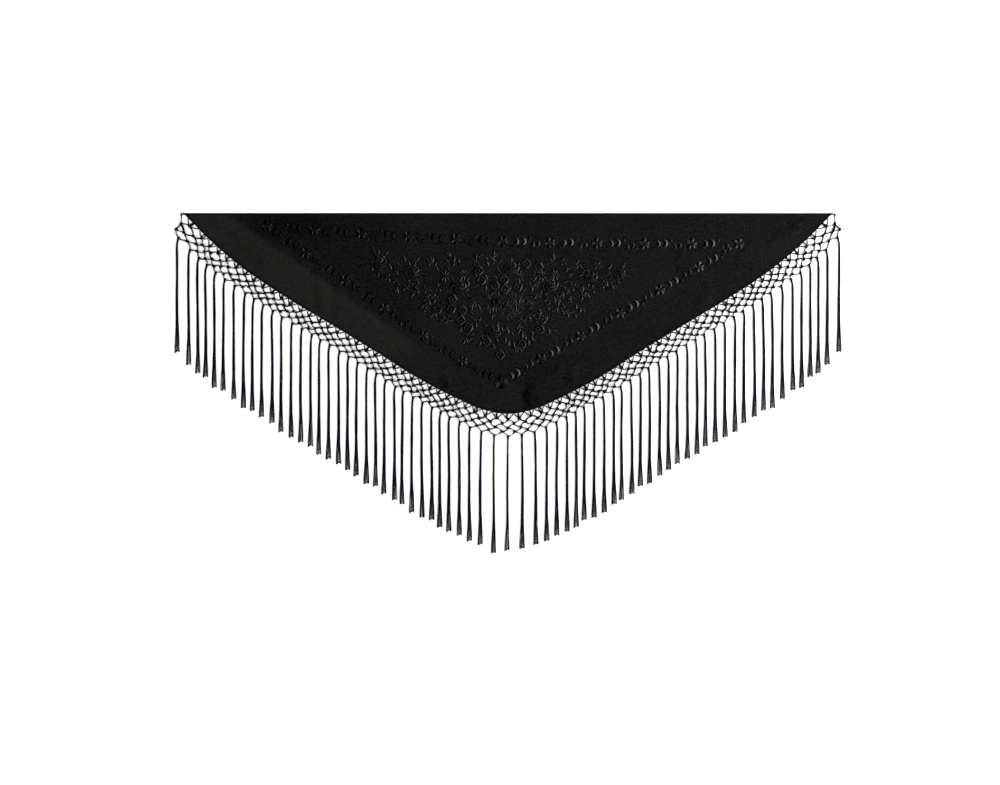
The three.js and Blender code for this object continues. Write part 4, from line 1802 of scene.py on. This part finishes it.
@dataclass
class Border:
    """The three-sided garland: small flowers, pairs of crescents and dots along a winding stem."""

    left: Pair = (-558.0, -31.0)
    right: Pair = (532.0, -71.0)
    point: Pair = (-16.0, -390.0)
    top_flowers: int = 11
    side_flowers: int = 7
    top_bow: float = -14.0
    left_bow: float = -13.5
    flower_radius: float = 13.0
    # A stem's points and the dots: share of the way from one flower to the next, millimetres aside
    top_stem: tuple[Pair, ...] = (
        (0.1, 6.5), (0.2, 8), (0.3, 6.5), (0.4, 2), (0.47, -3), (0.56, -8), (0.68, -10), (0.8, -9),
        (0.9, -6.5),
    )
    side_stem: tuple[Pair, ...] = (
        (0.08, -7), (0.18, -9), (0.3, -8), (0.39, -4), (0.45, 2), (0.53, 8), (0.64, 11), (0.76, 10.5),
        (0.86, 7), (0.92, 3),
    )
    top_dots: tuple[Pair, ...] = ((0.155, -11.0), (0.43, 8.0))
    side_dots: tuple[Pair, ...] = ((0.19, 9.5), (0.475, -8.0))
    # The two sizes of dot: radius, height
    dot_sizes: tuple[Pair, ...] = ((2.6, 1.8), (3.4, 2.2))
    # Crescents: share of the way, millimetres aside, height, half width, tail
    top_crescents: tuple[tuple[float, float, float, float, float], ...] = (
        (0.235, -4.0, 14, 2.7, 3.0), (0.345, -7.5, 14, 2.6, 5.0), (0.555, 0.8, 20, 3.9, 0.0),
        (0.7, -0.6, 20, 3.4, 12.0),
    )
    side_crescents: tuple[tuple[float, float, float, float, float], ...] = (
        (0.225, 0.5, 14, 2.8, 2.5), (0.355, 1.0, 14, 2.6, 5.0), (0.595, -0.5, 20, 4.0, 0.0),
        (0.745, -0.5, 19, 3.5, 8.0),
    )
    side_turn: float = 0.3

    def stitch(self, satin: Satin) -> None:
        """Stitch the garland.

        Args:
            satin: what it is stitched with.
        """
        top = self._places(self.left, self.right, self.top_flowers, self.top_bow, 1.0)
        down_left = self._places(self.left, self.point, self.side_flowers, self.left_bow, 2.0)
        down_right = self._places(self.right, self.point, self.side_flowers, 0.0, 1.0)
        for k, (x, y) in enumerate(top + down_left[1:-1] + down_right[1:-1]):
            satin.small_flower(x, y, self.flower_radius, 5, 0.4 + 1.1 * k)
        satin.small_flower(*self.point, 1.25 * self.flower_radius, 4, 0.3)
        for a, b in zip(top, top[1:]):
            if a[0] + b[0] < 2 * self.point[0]:
                self._between(satin, a, b, Half.LEFT, True)
            else:
                self._between(satin, b, a, Half.RIGHT, True)
        for places, half in ((down_left, Half.LEFT), (down_right, Half.RIGHT)):
            for a, b in zip(places, places[1:]):
                self._between(satin, a, b, half, False)

    def _places(
        self, start: Pair, end: Pair, count: int, bow: float, late: float
    ) -> list[Pair]:
        """Space flowers along one side.

        Args:
            start: the side's first flower.
            end: its last one.
            count: the number of flowers.
            bow: how far the side sags, in millimetres.
            late: 1 where it sags most in the middle, more where that is nearer to the end.

        Returns:
            The flowers' places.
        """
        places = []
        for k in range(count):
            s = k / (count - 1)
            sag = bow * math.sin(math.pi * s**late)
            places.append((start[0] + (end[0] - start[0]) * s, start[1] + (end[1] - start[1]) * s + sag))
        return places

    @staticmethod
    def _local(
        a: Pair, b: Pair, up: float
    ) -> Callable[[float, float], Pair]:
        """Give the function that places a share of the way from a to b, so far to one side of it.

        Args:
            a: where the way starts.
            b: where it ends.
            up: 1 where the side is to the left of the way, else -1.

        Returns:
            The function of the share and the distance aside.
        """
        run = (b[0] - a[0], b[1] - a[1])
        length = math.hypot(*run)
        normal = (-run[1] / length * up, run[0] / length * up)
        return lambda t, n: (a[0] + run[0] * t + normal[0] * n, a[1] + run[1] * t + normal[1] * n)

    def _between(self, satin: Satin, a: Pair, b: Pair, half: Half, on_top: bool) -> None:
        """Stitch what is between two flowers.

        Args:
            satin: what it is stitched with.
            a: the flower nearer to the tip, or the upper one on a slanting side.
            b: the next flower.
            half: the half of the shawl that they are on.
            on_top: whether they are on the top side.
        """
        at = self._local(a, b, -half.value)
        if on_top:
            stem, crescents, dots = self.top_stem, self.top_crescents, self.top_dots
            slope = math.atan2((b[1] - a[1]), (b[0] - a[0]) * -half.value) * -half.value
            turn = slope * 0.5
        else:
            stem, crescents, dots = self.side_stem, self.side_crescents, self.side_dots
            turn = self.side_turn * half.value
        satin.stem([at(t, n) for t, n in stem])
        for t, n, tall, fat, tail in crescents:
            satin.crescent(*at(t, n), tall, fat, turn, half, tail)
        for (t, n), (radius, height) in zip(dots, self.dot_sizes):
            satin.dot(*at(t, n), radius, height)


@dataclass
class Bouquet:
    """The three-cornered bouquet in the middle: roses, daisies, blossoms and stars among leaves."""

    roses: tuple[tuple[float, float, float, float, float], ...] = (
        # x, y, half width, half height, turn
        (-8, -209, 44, 34, 0.2), (-112, -170, 24, 17, 0.5), (96, -167, 20, 16, 1.1), (6, -128, 19, 14, 0.1),
        (-34, -274, 19, 16, 0.8), (-222, -136, 18, 15, 0.4), (-300, -112, 20, 17, 0.9), (190, -150, 16, 12, 0.3),
        (258, -140, 15, 13, 0.7),
    )
    daisies: tuple[Pair, ...] = ((-146, -145), (-104, -142), (27, -147), (78, -144), (108, -142))
    blossoms: tuple[Pair, ...] = (
        (-68, -133), (-62, -155), (-31, -168), (-10, -154), (-8, -176), (-129, -199), (-132, -221), (-106, -225),
        (-110, -247), (-92, -264), (-50, -297), (-19, -327), (31, -303), (73, -269), (78, -246), (42, -117),
        (70, -124), (22, -170),
    )
    stars: tuple[tuple[float, float, int], ...] = (
        # x, y, petals
        (-277, -148, 5), (-212, -112, 4), (-182, -112, 5), (-190, -176, 5), (-168, -196, 5), (-236, -172, 4),
        (128, -112, 5), (160, -118, 4), (206, -120, 4), (118, -196, 5), (150, -170, 5), (172, -190, 5),
        (222, -164, 5), (196, -176, 4), (28, -270, 5), (34, -250, 4), (-160, -172, 4), (92, -214, 5),
    )
    sprays: tuple[tuple[float, float, float, float, int, float], ...] = (
        # x, y, where it points in degrees, length, leaves, bend
        (-122, -118, 118, 22, 3, 0.3), (-84, -116, 60, 20, 3, -0.5), (-40, -122, 62, 22, 3, 0.4),
        (98, -126, 60, 20, 3, 0.5), (140, -128, 30, 26, 3, -0.4), (-170, -130, 95, 18, 3, 0.4),
        (-256, -146, 250, 26, 3, 0.6), (-206, -158, 262, 26, 3, -0.5), (-176, -190, 230, 28, 4, 0.4),
        (-150, -182, 195, 34, 4, -0.3), (-144, -214, 200, 30, 4, 0.4), (-124, -240, 205, 24, 3, -0.4),
        (-86, -274, 225, 20, 2, 0.3), (-62, -244, 200, 24, 3, 0.6), (-58, -226, 170, 20, 3, -0.5),
        (40, -232, 325, 30, 4, 0.5), (22, -248, 300, 28, 4, -0.4), (0, -286, 290, 26, 3, 0.5),
        (6, -292, 330, 26, 3, -0.5), (98, -190, 335, 30, 4, -0.4), (120, -176, 310, 26, 3, 0.5),
        (104, -210, 320, 34, 4, 0.3), (168, -164, 320, 24, 3, -0.5), (222, -152, 315, 22, 3, 0.3),
        (42, -190, 25, 26, 3, 0.5), (56, -186, 350, 26, 3, 0.4), (-76, -192, 235, 20, 3, 0.5),
        (88, -262, 320, 20, 2, 0.3), (128, -224, 330, 26, 3, 0.3), (150, -204, 330, 24, 3, -0.3),
    )
    long_leaves: tuple[tuple[float, float, float, float], ...] = (
        # x, y, where it points in degrees, length
        (-322, -108, 161, 36), (-352, -100, 155, 34), (-318, -118, 190, 26), (-306, -94, 120, 22),
        (-284, -100, 60, 20), (-296, -132, 250, 22), (272, -136, 25, 30), (292, -128, 22, 32), (270, -146, 345, 28),
        (266, -128, 75, 18), (-72, -118, 100, 22), (-20, -118, 70, 20), (58, -150, 75, 24), (52, -170, 100, 20),
    )
    daisy_radius: float = 15.0
    daisy_petals: int = 8
    blossom_radius: float = 12.0
    star_radius: float = 12.0
    long_leaf_width: float = 2.1
    big_rose: float = 30.0
    gap_corners: tuple[Pair, ...] = ((-330.0, -112.0), (275.0, -138.0), (-16.0, -338.0))
    scattered: int = 150
    most_tries: int = 6000
    share_of_dots: float = 0.12
    reach: float = 14.0
    gap: float = 3.0
    seed: int = 11

    def stitch_flowers(self, satin: Satin) -> None:
        """Stitch the flowers.

        Args:
            satin: what they are stitched with.
        """
        for k, (x, y, wide, tall, turn) in enumerate(self.roses):
            satin.rose(x, y, wide, tall, turn, k)
        for k, (x, y) in enumerate(self.daisies):
            satin.daisy(x, y, self.daisy_radius, self.daisy_petals, 0.3 * k)
        for k, (x, y) in enumerate(self.blossoms):
            satin.blossom(x, y, self.blossom_radius, 0.35 * math.sin(2.3 * k))
        for k, (x, y, petals) in enumerate(self.stars):
            satin.daisy(x, y, self.star_radius, petals, 1.1 * k)

    def stitch_leaves(self, satin: Satin) -> None:
        """Stitch the leaves and stems.

        Args:
            satin: what they are stitched with.
        """
        for x, y, angle, length, leaves, bend in self.sprays:
            satin.spray(x, y, math.radians(angle), length, leaves, bend)
        for k, (x, y, angle, length) in enumerate(self.long_leaves):
            satin.leaf(x, y, math.radians(angle), length, self.long_leaf_width, 0.3 * math.sin(1.7 * k))
        chance = random.Random(self.seed)
        for x, y, wide, tall, turn in self.roses:
            count = 9 if wide > self.big_rose else 5
            for k in range(count):
                angle = turn + 0.4 + 2 * math.pi * (k + chance.uniform(-0.2, 0.2)) / count
                foot = (x + 0.9 * wide * math.cos(angle), y + 0.9 * tall * math.sin(angle))
                satin.leaf(*foot, angle + chance.uniform(-0.5, 0.5), chance.uniform(11, 17), 2.5, 0.4)
        self._scatter(satin, chance)

    def _scatter(self, satin: Satin, chance: random.Random) -> None:
        """Stitch single leaves and dots into the gaps, pointing away from the middle rose.

        Args:
            satin: what they are stitched with.
            chance: what their places and sizes come from.
        """
        taken = [(x, y, wide) for x, y, wide, _, _ in self.roses]
        taken += [(x, y, 9.0) for x, y in self.blossoms]
        taken += [(x, y, 11.0) for x, y in self.daisies]
        taken += [(x, y, 10.0) for x, y, _ in self.stars]
        done = 0
        for _ in range(self.most_tries):
            if done == self.scattered:
                break
            a, b = sorted((chance.random(), chance.random()))
            shares = (a, b - a, 1 - b)
            x = sum(s * c[0] for s, c in zip(shares, self.gap_corners))
            y = sum(s * c[1] for s, c in zip(shares, self.gap_corners)) + chance.uniform(-4, 16)
            away = math.atan2(y - self.roses[0][1], x - self.roses[0][0]) + chance.uniform(-0.9, 0.9)
            tip = (x + self.reach * math.cos(away), y + self.reach * math.sin(away))
            if any(
                math.hypot(x - p, y - q) < r + self.gap or math.hypot(tip[0] - p, tip[1] - q) < r
                for p, q, r in taken
            ):
                continue
            taken.append((x, y, 3.0))
            if chance.random() < self.share_of_dots:
                satin.dot(x, y, chance.uniform(2.0, 2.8), 1.8)
            else:
                length = chance.uniform(12, 21)
                satin.leaf(x, y, away, length, chance.uniform(2.4, 3.5), chance.uniform(-0.7, 0.7))
            done += 1


@dataclass
class Studio:
    """The pale floor, soft lights and a camera straight above."""

    plan: Plan
    frame_width: float = 2.3077
    lens: float = 200.0
    sensor: float = 36.0
    aim: Pair = (-18.5, -414.2)
    floor_reach: float = 12.0
    floor_height: float = -0.0002
    world_strength: float = 0.006
    key_place: tuple[float, float, float] = (1.65, 0.1, 0.85)
    key_aim: tuple[float, float, float] = (0.1, 0.1, 0.0)
    key_size: Pair = (1.7, 0.5)
    key_power: float = 50.0
    fill_size: float = 1.6
    fills: tuple[tuple[str, tuple[float, float, float], float], ...] = (
        # name, place, power
        ("left", (-3.0, -0.3, 2.4), 110.0), ("right", (3.0, -0.2, 2.5), 50.0),
        ("near", (0.2, -3.0, 2.5), 72.0), ("far", (-0.2, 3.0, 2.5), 66.0),
    )

    def build(self) -> None:
        """Set up the floor, lights and camera."""
        work = bmesh.new()
        bmesh.ops.create_grid(work, x_segments=4, y_segments=4, size=self.floor_reach)
        mesh = bpy.data.meshes.new("floor")
        work.to_mesh(mesh)
        work.free()
        mesh.transform(Matrix.Translation((0, 0, self.floor_height)))
        mesh.materials.append(PaleBoard().material())
        floor = bpy.data.objects.new("floor", mesh)
        bpy.context.scene.collection.objects.link(floor)
        self._world()
        # A low light from the right, which the raised stitches catch on that side
        key = self._light("key", self.key_place, self.key_aim, self.key_size[0], self.key_power)
        key.data.shape = "RECTANGLE"
        key.data.size_y = self.key_size[1]
        for name, place, power in self.fills:
            # The four fills are matt light only, so that the satin shines from the key alone
            self._light(name, place, (0.0, 0.0, 0.0), self.fill_size, power).visible_glossy = False
        self._camera()
        view = bpy.context.scene.view_settings
        view.view_transform = "Standard"
        view.look = "None"

    def _world(self) -> None:
        """Light everything evenly from a pale surround."""
        world = bpy.data.worlds.new("studio")
        world.use_nodes = True
        tree = world.node_tree
        tree.nodes.clear()
        pale = add_node(
            tree, "ShaderNodeBackground", {"Color": linear("ffffff"), "Strength": self.world_strength}
        )
        add_node(tree, "ShaderNodeOutputWorld", links={"Surface": pale.outputs[0]})
        bpy.context.scene.world = world

    def _light(
        self,
        name: str,
        place: tuple[float, float, float],
        aim: tuple[float, float, float],
        size: float,
        power: float,
    ) -> bpy.types.Object:
        """Hang a square soft light.

        Args:
            name: its name.
            place: where it is, in metres.
            aim: what it faces.
            size: its side in metres.
            power: its power in watts.

        Returns:
            The light.
        """
        data = bpy.data.lights.new(name, "AREA")
        data.shape = "SQUARE"
        data.size = size
        data.energy = power
        lamp = bpy.data.objects.new(name, data)
        lamp.location = place
        lamp.rotation_mode = "QUATERNION"
        lamp.rotation_quaternion = (Vector(aim) - Vector(place)).to_track_quat("-Z", "Y")
        bpy.context.scene.collection.objects.link(lamp)
        return lamp

    def _camera(self) -> None:
        """Look straight down with a long lens, so that nothing leans."""
        data = bpy.data.cameras.new("camera")
        data.lens = self.lens
        data.sensor_width = self.sensor
        data.clip_end = 100.0
        camera = bpy.data.objects.new("camera", data)
        x, y, _ = self.plan.to_frame(np.array([*self.aim, 0.0]))
        camera.location = (x, y, self.frame_width * self.lens / self.sensor)
        bpy.context.scene.collection.objects.link(camera)
        bpy.context.scene.camera = camera


# The first and last tassel of each run of the fringe, numbered from the left
RUNS = (
    (1, 7), (8, 14), (15, 21), (22, 27), (28, 33), (34, 36), (37, 42), (43, 48), (49, 55), (56, 62), (63, 69),
)
SATIN_OVER_CLOTH = 0.1  # how far the embroidery's ground is above the cloth's top, in millimetres


def main() -> None:
    """Build the shawl and its studio."""
    logging.basicConfig(level=logging.INFO, format="%(message)s")
    plan = Plan()
    crepe = Crepe().material()
    hem_crepe = Crepe(name="black_rolled_crepe", dark="0a0a0a", light="101010").material()
    yarn = Thread(
        "twisted_rayon_yarn",
        "010208",
        "05071b",
        ply=90.0,
        ply_lean=2.0,
        roughness=0.45,
        specular=0.09,
        bump_mm=0.12,
        # Painted glints on the frayed ends of the tassels' inner yarns
        painted_glint_colour="9a998c",
        painted_glint_from=0.78,
    ).material()
    floss = Thread(
        "satin_stitched_floss",
        "000000",
        "030303",
        ply=2200.0,
        ply_lean=0.0,
        roughness=0.45,
        specular=0.42,
        bump_mm=0.05,
        brushed=0.85,
    ).material()
    sewing = Thread(
        "black_sewing_thread",
        "0a0a0a",
        "161616",
        ply=20.0,
        ply_lean=2.0,
        roughness=0.5,
        specular=0.4,
        bump_mm=0.05,
    ).material()

    cloth = Cloth(plan)
    panel = add_piece("cloth", cloth.build(), crepe, ["cloth_panel"])

    hems = Hems(plan)
    lines = {
        "upper": (hems.upper_line(), -1.0),
        "left": (hems.lower_line(Half.LEFT), 1.0),
        "right": (hems.lower_line(Half.RIGHT), -1.0),
    }
    for name, (line, inward) in lines.items():
        roll, stitches = hems.roll(name, line), hems.stitches(name, line, inward)
        add_piece(f"rolled_hem_{name}", roll, hem_crepe, [f"hem_{name}"])
        add_piece(f"hem_stitches_{name}", stitches, sewing)

    for half in Half:
        net = Net(plan, half)
        name = half.name.lower()
        add_piece(f"knotted_net_{name}", net.build(), yarn, [f"net_{name}"])

    for number, (first, last) in enumerate(RUNS, 1):
        run = FringeRun(plan, number, first, last)
        add_piece(f"tassels_{number:02d}", run.build(), yarn, [f"fringe_{number:02d}"])

    bouquet = Bouquet()
    for name, stitch in (
        ("embroidered_border", Border().stitch),
        ("embroidered_flowers", bouquet.stitch_flowers),
        ("embroidered_leaves", bouquet.stitch_leaves),
    ):
        satin = Satin(plan, cloth.top + SATIN_OVER_CLOTH)
        stitch(satin)
        add_piece(name, satin.mesh(name), floss)

    flat_depth = float(plan.depth(0.0)) * MM
    plan.flat_area()
    Studio(plan).build()


if __name__ == "__main__":
    main()
